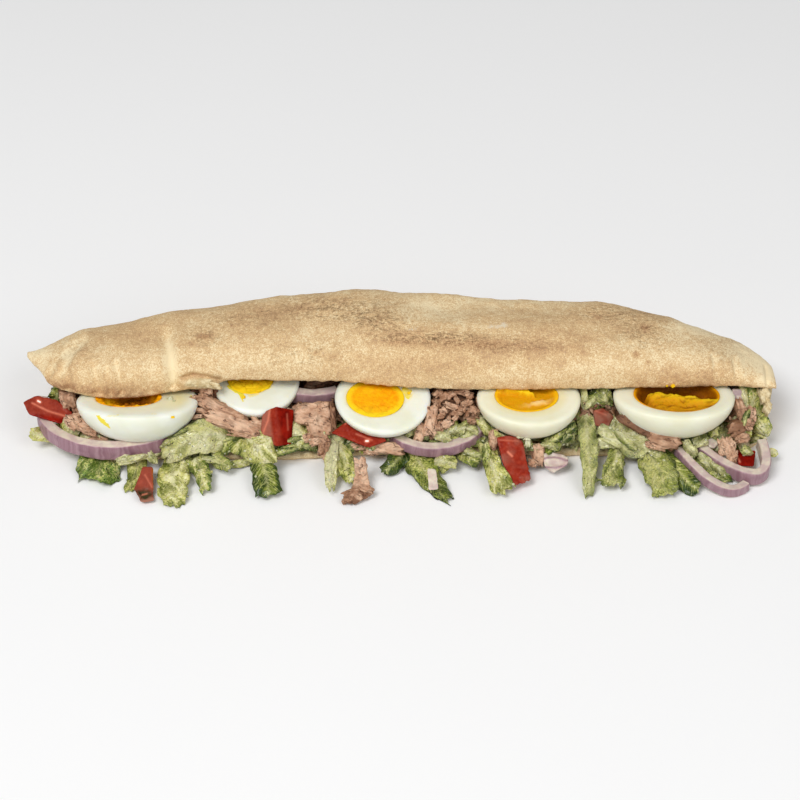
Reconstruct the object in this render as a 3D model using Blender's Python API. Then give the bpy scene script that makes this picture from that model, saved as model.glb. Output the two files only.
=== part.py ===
"""Tuna and egg sandwich in one long split flatbread, lying on its lower half.

Lengths are named in millimetres, and MM turns them into metres where a mesh is made.
X runs along the loaf, -Y is its open front and Z is up from the table. The filling's
front leans back, so pieces on it are placed by how far along, up and out they lie there.
"""

import math
import random

import bmesh
import bpy
from mathutils import Matrix, Vector
from mathutils.bvhtree import BVHTree

MM = 0.001
GAP = 0.35  # between neighbouring pieces
HEAP_GAP = 0.5  # round the heaps, whose surfaces are thinned out after the cuts
LEAN = math.radians(40)  # the filling's front, back from upright
FORWARD = 9.5  # from the upper lip's line to the middle of the whole depth

# The loaf, in sections from its left tip to its blunt right end.
LIP = (  # x, y and z of the upper lip's lower edge
    (-171.5, 20.5, 32.2), (-166.6, 14, 31.5), (-159.4, 3.5, 29.8), (-147.2, -2, 30),
    (-133, -3.5, 28.6),
    (-115, -2.7, 29.1), (-97, 0, 31), (-86, 0.3, 31.1), (-79, 3.4, 33.4), (-50, 3.3, 33.3),
    (-27, 3.1, 33.1), (0, 1, 31.7), (36, 0, 31), (93, 0.4, 31.3), (148, 1.2, 31.8),
    (170.5, 0.5, 31),
)
CROWN = (  # x, y and z of the highest line, and y of the uncut back
    (-171.5, 22, 33.8, 25.5), (-166, 19.5, 35.4, 29.5), (-155, 15, 39, 39), (-144, 13, 42, 45),
    (-128, 14, 44, 48.4), (-106, 18, 46, 52.6), (-84, 21, 47.5, 57.8), (-62, 23, 49, 61),
    (-40, 25, 50, 63.7), (-18, 27, 51, 66), (3, 26, 51, 63.3), (36, 24, 50, 61.9),
    (69, 23, 49.5, 59.5), (91, 21, 49, 58), (112, 18, 47, 54), (134, 14, 43, 47.8),
    (150, 10, 39.5, 41.5), (161, 8, 36, 36.5), (167, 6.5, 33.8, 31), (170.5, 6, 32, 25),
)
FRONT = (  # x and y of the lower half's front edge
    (-171.5, 16), (-163, 3), (-152, -9), (-135, -14), (-100, -15), (-46, -15), (-22, -12.8),
    (14, -12), (110, -12.7), (148, -12), (162, -7), (170.5, 3),
)
LOAF_LEFT, LOAF_RIGHT = -171.5, 170.5
LOAF_SECTIONS = 42
HINGE_SHARE = 0.42  # height of the back's roundest point, of the crown's height
TOP_CRUST, FLOOR_CRUST, BACK_CRUST = 6.0, 6.0, 7.0
FRONT_CRUST = 4.0  # the lower half thins towards its front edge
LIP_THICK = 5.5
TIP_REACH, TIP_BELOW = 13.0, 18.0  # the upper half's left tip overhangs the lower one
END_WALL = 20.0  # length over which the pocket closes at each end

# The filling's bed, from the lettuce on the lower half up to the tuna.
BED_LEFT, BED_RIGHT = -158.0, 160.0
BED_SECTIONS = 24
TABLE = 0.4  # nothing that hangs out of the bread comes lower
LETTUCE_TOP = 14.0
TUNA_TOP = 25.0
ROOF_SPACE = 2.2
TUNA_SHARE, LETTUCE_SHARE = 0.55, 0.42  # triangles kept after the cuts
TUNA_ROOM = 0.7  # how far the lettuce keeps clear of the tuna
HEAP_SOLVER = "MANIFOLD"  # the exact way loses the heaps, with their many crossing pieces

EGG_RINGS = (0.32, 0.62, 0.86)  # sine of the angle below the cut face, as shares
EGG_SIDES = 22
YOLK_SIDES = 16
SPACE_RINGS = (0.5, 0.85)  # the room for an egg is coarser, and a little larger
SPACE_SIDES = 14
SPACE_HEIGHT = 24.0
SPACE_MORE = 2.0
EGG_BLUNT = 0.05  # how much blunter one end of an egg is
YOLK_DEPTH = 0.8  # of the yolk's half width
CUP_SHARE, CUP_AT = 0.62, 0.78  # the yolk's last ring: its share out and down
ONION_EDGE = 0.4

# Torn lumps and leaves: how uneven they are.
LUMP_ROUGH = (0.78, 1.08)
LUMP_SQUARE = 0.55  # 0 is a ball, 1 a box
LEAF_WAVES = 7.5  # turns of a leaf's ripple along it, in radians
LEAF_CUP = 0.12  # of its width
LEAF_LEAST = 1.6  # least width


# ---------------------------------------------------------------- small helpers
def clear_scene():
    for old in list(bpy.data.objects):
        bpy.data.objects.remove(old, do_unlink=True)


def paint(name, colour, roughness):
    """A plain finish, from the piece's colour as it shows (sRGB, 0 to 255)."""
    material = bpy.data.materials.new(name)
    material.use_nodes = True
    shader = material.node_tree.nodes["Principled BSDF"]
    linear = [(c / 255) ** 2.2 for c in colour]
    shader.inputs["Base Color"].default_value = (*linear, 1)
    shader.inputs["Roughness"].default_value = roughness
    shader.inputs["Metallic"].default_value = 0.0
    return material


def between(table, x, column):
    """A smooth curve through one column of a section table, read at x."""
    last = len(table) - 2
    i = 0
    while i < last and x > table[i + 1][0]:
        i += 1

    def slope(k):
        before, after = table[max(k - 1, 0)], table[min(k + 1, last + 1)]
        return (after[column] - before[column]) / (after[0] - before[0])

    span = table[i + 1][0] - table[i][0]
    t = min(max((x - table[i][0]) / span, 0.0), 1.0)
    start, end = table[i][column], table[i + 1][column]
    return (
        start * (2 * t**3 - 3 * t**2 + 1)
        + end * (3 * t**2 - 2 * t**3)
        + slope(i) * span * (t**3 - 2 * t**2 + t)
        + slope(i + 1) * span * (t**3 - t**2)
    )


def ease(t):
    t = min(max(t, 0.0), 1.0)
    return t * t * (3 - 2 * t)


def on_front(along, up, out):
    """A point on the filling's leaning front: along the loaf, up the front, out of it."""
    sine, cosine = math.sin(LEAN), math.cos(LEAN)
    return Vector((along, up * sine - out * cosine, up * cosine + out * sine))


def solid(name, points, faces, material):
    """One object from points in millimetres, its faces turned outwards."""
    mesh = bpy.data.meshes.new(name)
    shift = Vector((0, -FORWARD, 0))
    mesh.from_pydata([(Vector(p) + shift) * MM for p in points], [], faces)
    shell = bmesh.new()
    shell.from_mesh(mesh)
    bmesh.ops.recalc_face_normals(shell, faces=shell.faces)
    bmesh.ops.triangulate(shell, faces=shell.faces)
    shell.to_mesh(mesh)
    shell.free()
    mesh.materials.append(material)
    mesh.shade_smooth()
    mesh.set_sharp_from_angle(angle=math.radians(40))
    piece = bpy.data.objects.new(name, mesh)
    bpy.context.scene.collection.objects.link(piece)
    return piece


def hull(name, points, material):
    """The convex solid round some points: a torn lump's form."""
    shell = bmesh.new()
    for p in points:
        shell.verts.new(p)
    done = bmesh.ops.convex_hull(shell, input=shell.verts)
    spare = [g for g in done["geom_interior"] if isinstance(g, bmesh.types.BMVert)]
    bmesh.ops.delete(shell, geom=spare, context="VERTS")
    shell.verts.index_update()
    corners = [v.co.copy() for v in shell.verts]
    faces = [[v.index for v in f.verts] for f in shell.faces]
    shell.free()
    return solid(name, corners, faces, material)


def loft(rings):
    """Points and faces of a tube through equal rings, its two ends capped."""
    count = len(rings[0])
    points = [p for ring in rings for p in ring]
    faces = []
    for i in range(len(rings) - 1):
        for j in range(count):
            a, b = i * count + j, i * count + (j + 1) % count
            faces.append((a, b, b + count, a + count))
    faces.append(list(range(count)))
    faces.append(list(range((len(rings) - 1) * count, len(rings) * count)))
    return points, faces


# ---------------------------------------------------------------- fitting pieces together
def tree_of(piece):
    points = [piece.matrix_world @ v.co for v in piece.data.vertices]
    return BVHTree.FromPolygons(points, [tuple(p.vertices) for p in piece.data.polygons])


def swollen(piece, amount):
    """A hidden copy of a piece, grown outwards by an amount in millimetres."""
    mesh = piece.data.copy()
    shell = bmesh.new()
    shell.from_mesh(mesh)
    moved = [v.normal * (amount * MM * v.calc_shell_factor()) for v in shell.verts]
    for v, move in zip(shell.verts, moved):
        v.co += move
    shell.to_mesh(mesh)
    shell.free()
    copy = bpy.data.objects.new(piece.name + ".grown", mesh)
    copy.display_type = "WIRE"
    copy.hide_render = True
    bpy.context.scene.collection.objects.link(copy)
    return copy


def applied(piece):
    """Turns a piece's modifiers into plain mesh."""
    bpy.context.view_layer.update()
    graph = bpy.context.evaluated_depsgraph_get()
    mesh = bpy.data.meshes.new_from_object(piece.evaluated_get(graph))
    piece.modifiers.clear()
    old = piece.data
    piece.data = mesh
    bpy.data.meshes.remove(old)


def thinned(piece, share):
    """Takes out the slivers that many cuts leave, down to a share of the triangles."""
    fewer = piece.modifiers.new("fewer faces", "DECIMATE")
    fewer.ratio = share
    fewer.use_collapse_triangulate = True
    applied(piece)


def keep_largest(piece):
    """Drops the loose scraps that a cut left."""
    shell = bmesh.new()
    shell.from_mesh(piece.data)
    bmesh.ops.triangulate(shell, faces=shell.faces)
    left = set(shell.faces)
    bodies = []
    while left:
        reached = [left.pop()]
        body = []
        while reached:
            face = reached.pop()
            body.append(face)
            near = {f for e in face.edges for f in e.link_faces} & left
            left -= near
            reached.extend(near)
        bodies.append(body)

    def volume(body):
        total = 0.0
        for face in body:
            a, b, c = (v.co for v in face.verts)
            total += a.dot(b.cross(c)) / 6
        return total

    bodies.sort(key=volume)
    scraps = [f for body in bodies[:-1] for f in body]
    bmesh.ops.delete(shell, geom=scraps, context="FACES")
    loose = [v for v in shell.verts if not v.link_faces]
    bmesh.ops.delete(shell, geom=loose, context="VERTS")
    shell.to_mesh(piece.data)
    shell.free()


def carve(piece, tool, solver="EXACT"):
    """Cuts one piece by another, where they meet."""
    if not tree_of(piece).overlap(tree_of(tool)):
        return
    cut = piece.modifiers.new("cut", "BOOLEAN")
    cut.operation = "DIFFERENCE"
    cut.solver = solver
    cut.object = tool
    applied(piece)
    keep_largest(piece)


def fit(piece, others, solver="EXACT", gap=GAP):
    """Shortens a piece where it would reach into others, leaving a gap."""
    for other in others:
        grown = swollen(other, gap)
        carve(piece, grown, solver)
        bpy.data.objects.remove(grown, do_unlink=True)


def fuse(piece, extras):
    """One Boolean union of a heap's core with the pieces that show."""
    group = bpy.data.collections.new(piece.name + " pieces")
    for extra in extras:
        bpy.context.scene.collection.objects.unlink(extra)
        group.objects.link(extra)
    bpy.context.scene.collection.children.link(group)
    join = piece.modifiers.new("fuse", "BOOLEAN")
    join.operation = "UNION"
    join.solver = HEAP_SOLVER
    join.operand_type = "COLLECTION"
    join.collection = group
    applied(piece)
    for extra in list(group.objects):
        bpy.data.objects.remove(extra, do_unlink=True)
    bpy.data.collections.remove(group)
    keep_largest(piece)


# ---------------------------------------------------------------- bread
def quarter(centre, radii, start, end, steps, power):
    """Points of a squarish arc in a section, angles in degrees from +Y towards +Z."""
    points = []
    for k in range(steps):
        angle = math.radians(start + (end - start) * k / (steps - 1))
        c, s = math.cos(angle), math.sin(angle)
        points.append(
            (
                centre[0] + radii[0] * math.copysign(abs(c) ** (2 / power), c),
                centre[1] + radii[1] * math.copysign(abs(s) ** (2 / power), s),
            )
        )
    return points


def lip_thickness(x):
    return min(LIP_THICK, (between(CROWN, x, 3) - between(LIP, x, 1)) / 3)


def pocket(x):
    """The pocket's mouth, back and roof at x: y of the mouth and back, y and z of the roof."""
    near_end = min((x - LOAF_LEFT) / END_WALL, (LOAF_RIGHT - x) / END_WALL)
    mouth = between(LIP, x, 1) + lip_thickness(x)
    full_back = between(CROWN, x, 3) - BACK_CRUST
    shut_back = mouth + lip_thickness(x) / 3
    back = shut_back + (full_back - shut_back) * ease(near_end)
    roof_y = mouth + 0.48 * (back - mouth)
    lip_z = between(LIP, x, 2)
    roof_z = min(between(CROWN, x, 2) - TOP_CRUST, lip_z + 0.45 * (back - mouth))
    return mouth, back, roof_y, max(roof_z, lip_z + 0.6)


def crown_relief(x, y):
    """The blister over the middle, the hollow behind it and slow swells of the crust."""
    ridge = 1.5 * math.exp(-(((x + 12) / 26) ** 2) - ((y - 42) / 12) ** 2)
    blister = 1.8 * math.exp(-(((x - 14) / 16) ** 2) - ((y - 20) / 9) ** 2)
    hollow = 4.2 * math.exp(-(((x - 42) / 34) ** 2) - ((y - 40) / 11) ** 2)
    swell = 0.5 * math.sin(x / 11 + y / 9) + 0.4 * math.sin(x / 6.3 - y / 7)
    return ridge + blister - hollow + swell


def loaf_section(x):
    """The bread's outline across the loaf at x, a C that is open at the front."""
    lip_y, lip_z = between(LIP, x, 1), between(LIP, x, 2)
    crown_y, crown_z = between(CROWN, x, 1), between(CROWN, x, 2)
    back, front = between(CROWN, x, 3), between(FRONT, x, 1)
    hinge_z = HINGE_SHARE * crown_z
    mouth, inner_back, roof_y, roof_z = pocket(x)
    floor = min(FLOOR_CRUST, hinge_z - 3)
    edge = min(FRONT_CRUST, floor - 0.5)
    foot = min(14.0, (back - front) / 2.5)
    inner_foot = min(7.0, (inner_back - front) / 3)
    inner_hinge = min(hinge_z, roof_z - 1.5)

    over = quarter((crown_y, lip_z), (crown_y - lip_y, crown_z - lip_z), 180, 90, 8, 2.3)
    over += quarter((crown_y, hinge_z), (back - crown_y, crown_z - hinge_z), 90, 0, 8, 2.6)[1:]
    under = quarter((back - foot, hinge_z), (foot, hinge_z), 0, -90, 5, 2.2)[1:]
    step = (back - foot - front - 3) / 3
    under += [(back - foot - step * k, 0.0) for k in (1, 2)]
    under += quarter((front + 3, edge / 2), (3, edge / 2), -90, -270, 5, 2.0)
    deck = [(front + 3 + (inner_back - inner_foot - front - 3) * k / 4, 0) for k in (1, 2, 3)]
    deck = [(y, edge + (floor - edge) * ease((y - front - 3) / 14)) for y, _ in deck]
    inner = (inner_back - inner_foot, inner_hinge)
    deck += quarter(inner, (inner_foot, inner_hinge - floor), -90, 0, 4, 2.2)
    roof = quarter((roof_y, inner_hinge), (inner_back - roof_y, roof_z - inner_hinge), 0, 90, 5, 2.6)
    roof = roof[1:]
    roof += quarter((roof_y, lip_z), (roof_y - mouth, roof_z - lip_z), 90, 180, 5, 2.3)[1:]
    thick = mouth - lip_y
    nose = quarter((mouth - thick / 2, lip_z), (thick / 2, 2.0), 0, -180, 5, 2.0)[1:-1]
    outer = [(y, z + crown_relief(x, y) * ease((z - lip_z) / 9)) for y, z in over]
    return outer + under + deck + roof + nose


def bread():
    rings = []
    for k in range(LOAF_SECTIONS):
        # sections stand closer together towards the ends
        turn = math.pi * (k / (LOAF_SECTIONS - 1) - 0.5)
        share = 0.5 + 0.5 * (0.45 * math.sin(turn) + 0.55 * turn * 2 / math.pi)
        x = LOAF_LEFT + (LOAF_RIGHT - LOAF_LEFT) * share
        pulled = ease((LOAF_LEFT + 55 - x) / 55)
        ring = []
        for y, z in loaf_section(x):
            tip = TIP_REACH * pulled * (1 - ease((z - TIP_BELOW) / (33 - TIP_BELOW)))
            ring.append((x + tip, y, z))
        rings.append(ring)
    points, faces = loft(rings)
    return solid("bread", points, faces, paint("flatbread crust", (221, 191, 145), 0.75))


# ---------------------------------------------------------------- eggs
def egg_ring(egg, share_out, depth, sides):
    """A ring of an egg half: share of the cut face's outline, at a depth below the face."""
    points = []
    for k in range(sides):
        a = 2 * math.pi * k / sides
        blunt = 1 + EGG_BLUNT * math.cos(a)
        u = egg["long"] * share_out * math.cos(a)
        v = egg["wide"] * share_out * math.sin(a) * blunt
        points.append(egg["place"] @ Vector((u, v, -depth)))
    return points


def yolk_ring(egg, share_out, depth, grow=0.0):
    points = []
    for k in range(YOLK_SIDES):
        a = 2 * math.pi * k / YOLK_SIDES
        u = egg["yolk_at"][0] + (egg["yolk"][0] + grow) * share_out * math.cos(a)
        v = egg["yolk_at"][1] + (egg["yolk"][1] + grow) * share_out * math.sin(a)
        points.append(egg["place"] @ Vector((u, v, -depth)))
    return points


def stitch(outer, inner):
    """Faces between two rings that may have different numbers of points."""
    faces = []
    a = b = 0
    while a < len(outer) or b < len(inner):
        step_outer = (a + 1) / len(outer) <= (b + 1) / len(inner)
        if step_outer:
            faces.append((outer[a % len(outer)], outer[(a + 1) % len(outer)], inner[b % len(inner)]))
            a += 1
        else:
            faces.append((outer[a % len(outer)], inner[(b + 1) % len(inner)], inner[b % len(inner)]))
            b += 1
    return faces


def turned(rings, top, bottom):
    """A solid of rings from top to bottom, each end closed by one point."""
    points = [top]
    index = []
    for ring in rings:
        index.append(list(range(len(points), len(points) + len(ring))))
        points += ring
    points.append(bottom)
    faces = []
    for a, b in zip(index, index[1:]):
        faces += stitch(a, b)
    count = len(index[0])
    faces += [(0, index[0][(k + 1) % count], index[0][k]) for k in range(count)]
    count = len(index[-1])
    end = len(points) - 1
    faces += [(index[-1][k], index[-1][(k + 1) % count], end) for k in range(count)]
    return points, faces


def egg_half(number, at, long, wide, deep, front_down, spin, yolk, yolk_at, hollow):
    """A halved boiled egg with its cut face up: the white, and the yolk in its hollow."""
    egg = {
        "place": Matrix.Translation(at)
        @ Matrix.Rotation(math.radians(front_down), 4, "X")
        @ Matrix.Rotation(math.radians(spin), 4, "Z"),
        "long": long,
        "wide": wide,
        "yolk": yolk,
        "yolk_at": yolk_at,
    }
    cup = yolk[1] * YOLK_DEPTH  # depth of the hollow that holds the yolk
    rings = [yolk_ring(egg, CUP_SHARE, cup * CUP_AT, GAP), yolk_ring(egg, 1.0, 0.0, GAP)]
    rings.append(egg_ring(egg, 0.965, 0.0, EGG_SIDES))
    rings.append(egg_ring(egg, 0.998, 0.7, EGG_SIDES))
    for share in EGG_RINGS:
        rings.append(egg_ring(egg, math.sqrt(1 - share**2), deep * share, EGG_SIDES))
    at_cup = egg["place"] @ Vector((*yolk_at, -cup - GAP))
    at_base = egg["place"] @ Vector((0, 0, -deep))
    points, faces = turned(rings, at_cup, at_base)
    white = solid(f"egg_{number}_white", points, faces, EGG_WHITE)
    rings = [yolk_ring(egg, 0.6, hollow), yolk_ring(egg, 0.8, hollow * 0.6)]
    rings += [yolk_ring(egg, 1.0, 0.1), yolk_ring(egg, CUP_SHARE, cup * CUP_AT - GAP)]
    at_top = egg["place"] @ Vector((*yolk_at, -hollow))
    at_cup = egg["place"] @ Vector((*yolk_at, -cup + GAP))
    points, faces = turned(rings, at_top, at_cup)
    core = solid(f"egg_{number}_yolk", points, faces, EGG_YOLK)
    return white, core, egg, deep


def egg_space(egg, deep):
    """The room an egg half takes in the filling: the egg, and the air over its face."""
    swell = 1 + SPACE_MORE / egg["wide"]
    above = Matrix.Translation((0, 0, SPACE_HEIGHT))
    face = egg_ring(egg, swell, 0.0, SPACE_SIDES)
    rings = [[above @ p for p in face], face]
    for share in SPACE_RINGS:
        across = math.sqrt(1 - share**2) * swell
        rings.append(egg_ring(egg, across, deep * share * swell, SPACE_SIDES))
    top = above @ egg["place"] @ Vector((0, 0, 0))
    base = egg["place"] @ Vector((0, 0, -deep * swell))
    points, faces = turned(rings, top, base)
    return solid("egg space", points, faces, EGG_WHITE)


# ---------------------------------------------------------------- onion
def oval(centre, half_width, half_depth, start, end, front_down, steps):
    """The outer line of a ring slice, seen from above, angles from the right end."""
    line = []
    for k in range(steps + 1):
        a = math.radians(start + (end - start) * k / steps)
        y = half_depth * math.sin(a)
        z = centre[2] + y * math.tan(math.radians(front_down))
        line.append(Vector((centre[0] + half_width * math.cos(a), centre[1] + y, z)))
    return line


def bow(first, second, third, fourth, steps):
    """A smooth bow between its first and fourth points, pulled by the other two."""
    line = []
    for k in range(steps + 1):
        t = k / steps
        weights = ((1 - t) ** 3, 3 * t * (1 - t) ** 2, 3 * t * t * (1 - t), t**3)
        corners = zip(weights, (first, second, third, fourth))
        line.append(sum((Vector(p) * w for w, p in corners), Vector()))
    return line


def onion_ring(name, line, thick, tall):
    """A layer of sliced onion along its outer top line: rounded skin side, flat cuts."""
    middle = sum(line, Vector()) / len(line)
    rings = []
    for k, p in enumerate(line):
        along = (line[min(k + 1, len(line) - 1)] - line[max(k - 1, 0)]).normalized()
        inward = Vector((-along.y, along.x, 0)).normalized()
        if inward.dot(middle - p) < 0:
            inward = -inward
        down = along.cross(inward).normalized()
        down = -down if down.z > 0 else down
        soft = ONION_EDGE
        profile = ((soft, 0), (thick, 0), (thick + soft, tall / 2), (thick, tall))
        profile += ((soft, tall), (-soft / 2, tall * 0.75), (-soft / 2, tall * 0.25))
        rings.append([p + inward * a + down * b for a, b in profile])
    points, faces = loft(rings)
    return solid(name, points, faces, ONION)


# ---------------------------------------------------------------- cut pieces
def cut_piece(name, outline, depth, shrink, material, bevel=0.5):
    """A piece cut with a knife: an outline that shows, and its back behind it."""
    corners = [on_front(*p) for p in outline]
    middle = sum(corners, Vector()) / len(corners)
    back = on_front(0, 0, -depth)
    behind = [middle + (p - middle) * shrink + back for p in corners]
    for p in corners + behind:
        p.z = max(p.z, TABLE)
    points, faces = loft([corners, behind])
    piece = solid(name, points, faces, material)
    edge = piece.modifiers.new("soft edges", "BEVEL")
    edge.width = bevel * MM
    edge.segments = 1
    applied(piece)
    return piece


def crumb(rng, centre, size, turn, material, corners, grow):
    """A torn lump: the hull of points spread over a box, each a little off its place."""
    spin = Matrix.Rotation(math.radians(turn), 3, "Y") @ Matrix.Rotation(LEAN, 3, "X")
    points = []
    for k in range(corners):
        # points spaced evenly round a ball, pushed out towards a box
        z = 1 - (2 * k + 1) / corners
        a = k * math.pi * (3 - math.sqrt(5))
        flat = math.sqrt(1 - z * z)
        p = Vector((flat * math.cos(a), z, flat * math.sin(a)))
        p /= max(abs(c) for c in p) ** LUMP_SQUARE
        p *= rng.uniform(*LUMP_ROUGH)
        p = Vector((p.x * size[0], p.y * size[2], p.z * size[1])) / 2
        p += p.normalized() * grow
        points.append(centre + spin @ p)
    return hull("lump", points, material)


# ---------------------------------------------------------------- leaves
def leaf(rng, root, middle, tip, widths, ruffle, thick=1.3, steps=5, across=3):
    """A torn leaf: a thin wavy solid that runs from its root through the middle to its tip."""
    face = on_front(0, 0, 1)
    phase = rng.uniform(0, 6.28)
    top, bottom = [], []
    for i in range(steps + 1):
        t = i / steps
        spine = root * ((1 - t) * (1 - 2 * t)) + middle * (4 * t * (1 - t)) + tip * (t * (2 * t - 1))
        ahead = (middle - root) * (1 - t) + (tip - middle) * t
        side = ahead.cross(face).normalized()
        lift = side.cross(ahead).normalized()
        lift = lift if lift.dot(face) > 0 else -lift
        width = widths[0] * (1 - t) * (1 - 2 * t) + widths[1] * 4 * t * (1 - t)
        width = max(width + widths[2] * t * (2 * t - 1), LEAF_LEAST)
        for j in range(across + 1):
            s = 2 * j / across - 1
            wave = ruffle * (0.35 + 0.65 * abs(s)) * math.sin(phase + LEAF_WAVES * t + 2.4 * s)
            cup = LEAF_CUP * width * (1 - s * s)
            edge = 1 + 0.12 * math.sin(phase + 13 * t) * s
            p = spine + side * (s * edge * width / 2) + lift * (wave + cup)
            top.append(p + lift * thick / 2)
            bottom.append(p - lift * thick / 2)
    row = across + 1
    count = len(top)
    faces = []
    for i in range(steps):
        for j in range(across):
            a, b = i * row + j, i * row + j + 1
            for tri in ((a, b, b + row), (a, b + row, a + row)):
                faces.append(tri)
                faces.append(tuple(count + v for v in reversed(tri)))
    rim = [j for j in range(row)] + [i * row + across for i in range(1, steps + 1)]
    rim += [steps * row + j for j in range(across - 1, -1, -1)]
    rim += [i * row for i in range(steps - 1, 0, -1)]
    for a, b in zip(rim, rim[1:] + rim[:1]):
        faces.append((a, count + a, count + b))
        faces.append((a, count + b, b))
    for p in top + bottom:
        p.z = max(p.z, TABLE)
    return solid("leaf", top + bottom, faces, LETTUCE)


# ---------------------------------------------------------------- the filling's bed
def bed(name, section, left, right, material):
    rings = []
    for k in range(BED_SECTIONS):
        x = left + (right - left) * k / (BED_SECTIONS - 1)
        rings.append([(x, y, z) for y, z in section(x)])
    points, faces = loft(rings)
    return solid(name, points, faces, material)


def lettuce_section(x):
    front = between(FRONT, x, 1)
    back = max(pocket(x)[1], front + 16)
    swell = 1.2 * math.sin(x / 5.1) + 0.8 * math.sin(x / 8.3 + 1)
    floor = FLOOR_CRUST + 0.8
    return (
        (front + 3.5, FRONT_CRUST + 1.6),
        (front + 1.2 + swell, 9.5),
        (front + 3.5 + swell, LETTUCE_TOP),
        (back - 3.0, LETTUCE_TOP),
        (back - 3.5, 11.5),
        (back - 8.5, floor),
        (front + 15, floor),
    )


def tuna_section(x, grow):
    mouth, back, roof_y, roof_z = pocket(x)
    front, lip_z = between(FRONT, x, 1), between(LIP, x, 2)
    swell = 0.9 * math.sin(x / 4.3 + 2) + 0.7 * math.sin(x / 9.1)
    base = LETTUCE_TOP + 3 * GAP
    back = max(back, mouth + 12)
    dip = 7.0 * math.exp(-(((x + 40) / 9) ** 2))  # round the onion between the eggs
    top = max(roof_z - ROOF_SPACE, TUNA_TOP + 1)
    return (
        (front + 6.5 + swell - grow, base - grow),
        (front + 9.5 + swell + dip - grow, 21.0),
        (mouth - 1.5 + swell / 2 + dip / 2 - grow, TUNA_TOP),
        (mouth + 4.0, min(lip_z, top) - 0.5),
        (roof_y, top),
        (back - 5.0, min(TUNA_TOP, top - 1)),
        (back - 2.5 + grow, base - grow),
    )


# ---------------------------------------------------------------- the sandwich
clear_scene()
EGG_WHITE = paint("boiled egg white", (238, 238, 220), 0.3)
EGG_YOLK = paint("boiled yolk", (240, 170, 30), 0.55)
ONION = paint("red onion", (180, 142, 152), 0.35)
TOMATO = paint("tomato", (172, 60, 38), 0.3)
LETTUCE = paint("dressed lettuce", (160, 170, 105), 0.45)
TUNA = paint("tuna", (193, 152, 128), 0.6)

loaf = bread()

eggs = [
    egg_half(1, (-119.0, -3.0, 27.6), 27.7, 20.5, 20.5, -15, 0, (15, 10), (-4.0, 0.5), 4.0),
    egg_half(2, (-66.0, 10.7, 27.0), 20.0, 19.7, 15.0, 10, 0, (10.2, 9.8), (-2.5, 2.5), 0.3),
    egg_half(3, (-7.9, 0.0, 25.9), 22.0, 20.0, 15.0, 15, -4, (13.2, 10.4), (-3.3, -1.0), 0.2),
    egg_half(4, (58.4, -1.4, 27.6), 23.7, 20.0, 19.0, 0, 0, (14.5, 11.4), (-1.0, 0.2), 0.6),
    egg_half(5, (124.2, -1.2, 28.8), 27.7, 20.7, 20.5, -8, 0, (19.5, 14.6), (1.0, -1.0), 4.5),
]
whites = [white for white, _, _, _ in eggs]
yolks = [core for _, core, _, _ in eggs]

tomatoes = [
    cut_piece(
        "tomato_1",
        ((-172, 17.4, 16), (-169, 11.5, 16), (-150, 6.0, 16), (-149, 12.5, 14), (-157, 18.5, 11.5),
         (-166.5, 20.5, 11.5)),
        7.0, 0.8, TOMATO,
    ),
    cut_piece(
        "tomato_2",
        ((-62.3, 12.9, 21), (-55.9, 15.6, 24), (-48, 14.0, 18), (-49, -2.1, 20), (-55.5, -2.9, 24),
         (-63.8, -0.3, 20)),
        7.0, 0.75, TOMATO,
    ),
    cut_piece(
        "tomato_3",
        ((-31.6, 3.4, 21), (-24.4, 8.8, 19), (-9.5, 4.0, 20), (-5.5, -0.2, 22), (-14.0, -3.5, 23)),
        6.0, 0.8, TOMATO,
    ),
    cut_piece(
        "tomato_4",
        ((43.4, 1.6, 22), (51.5, 2.9, 22), (55.6, 0.2, 21), (58.7, -18, 29), (50.1, -20.6, 31),
         (45.9, -9.6, 26)),
        6.5, 0.8, TOMATO,
    ),
    cut_piece(
        "tomato_5",
        ((151.5, -4.0, 20), (161.6, -4.5, 19), (160.0, -12.0, 22.5), (152.5, -11.5, 22.5)),
        5.0, 0.8, TOMATO,
    ),
    cut_piece(
        "tomato_6",
        ((-115.8, -11.4, 25), (-111.3, -11.9, 25), (-109.2, -27.0, 35), (-115.6, -27.5, 36),
         (-119.2, -22.2, 33)),
        5.0, 0.85, TOMATO,
    ),
    cut_piece(
        "tomato_7",
        ((87.5, 13.5, 17), (92.2, 15.1, 17), (97.5, 11, 17), (94.4, 5.1, 18), (88.5, 6.5, 18)),
        5.0, 0.8, TOMATO,
    ),
]

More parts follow.
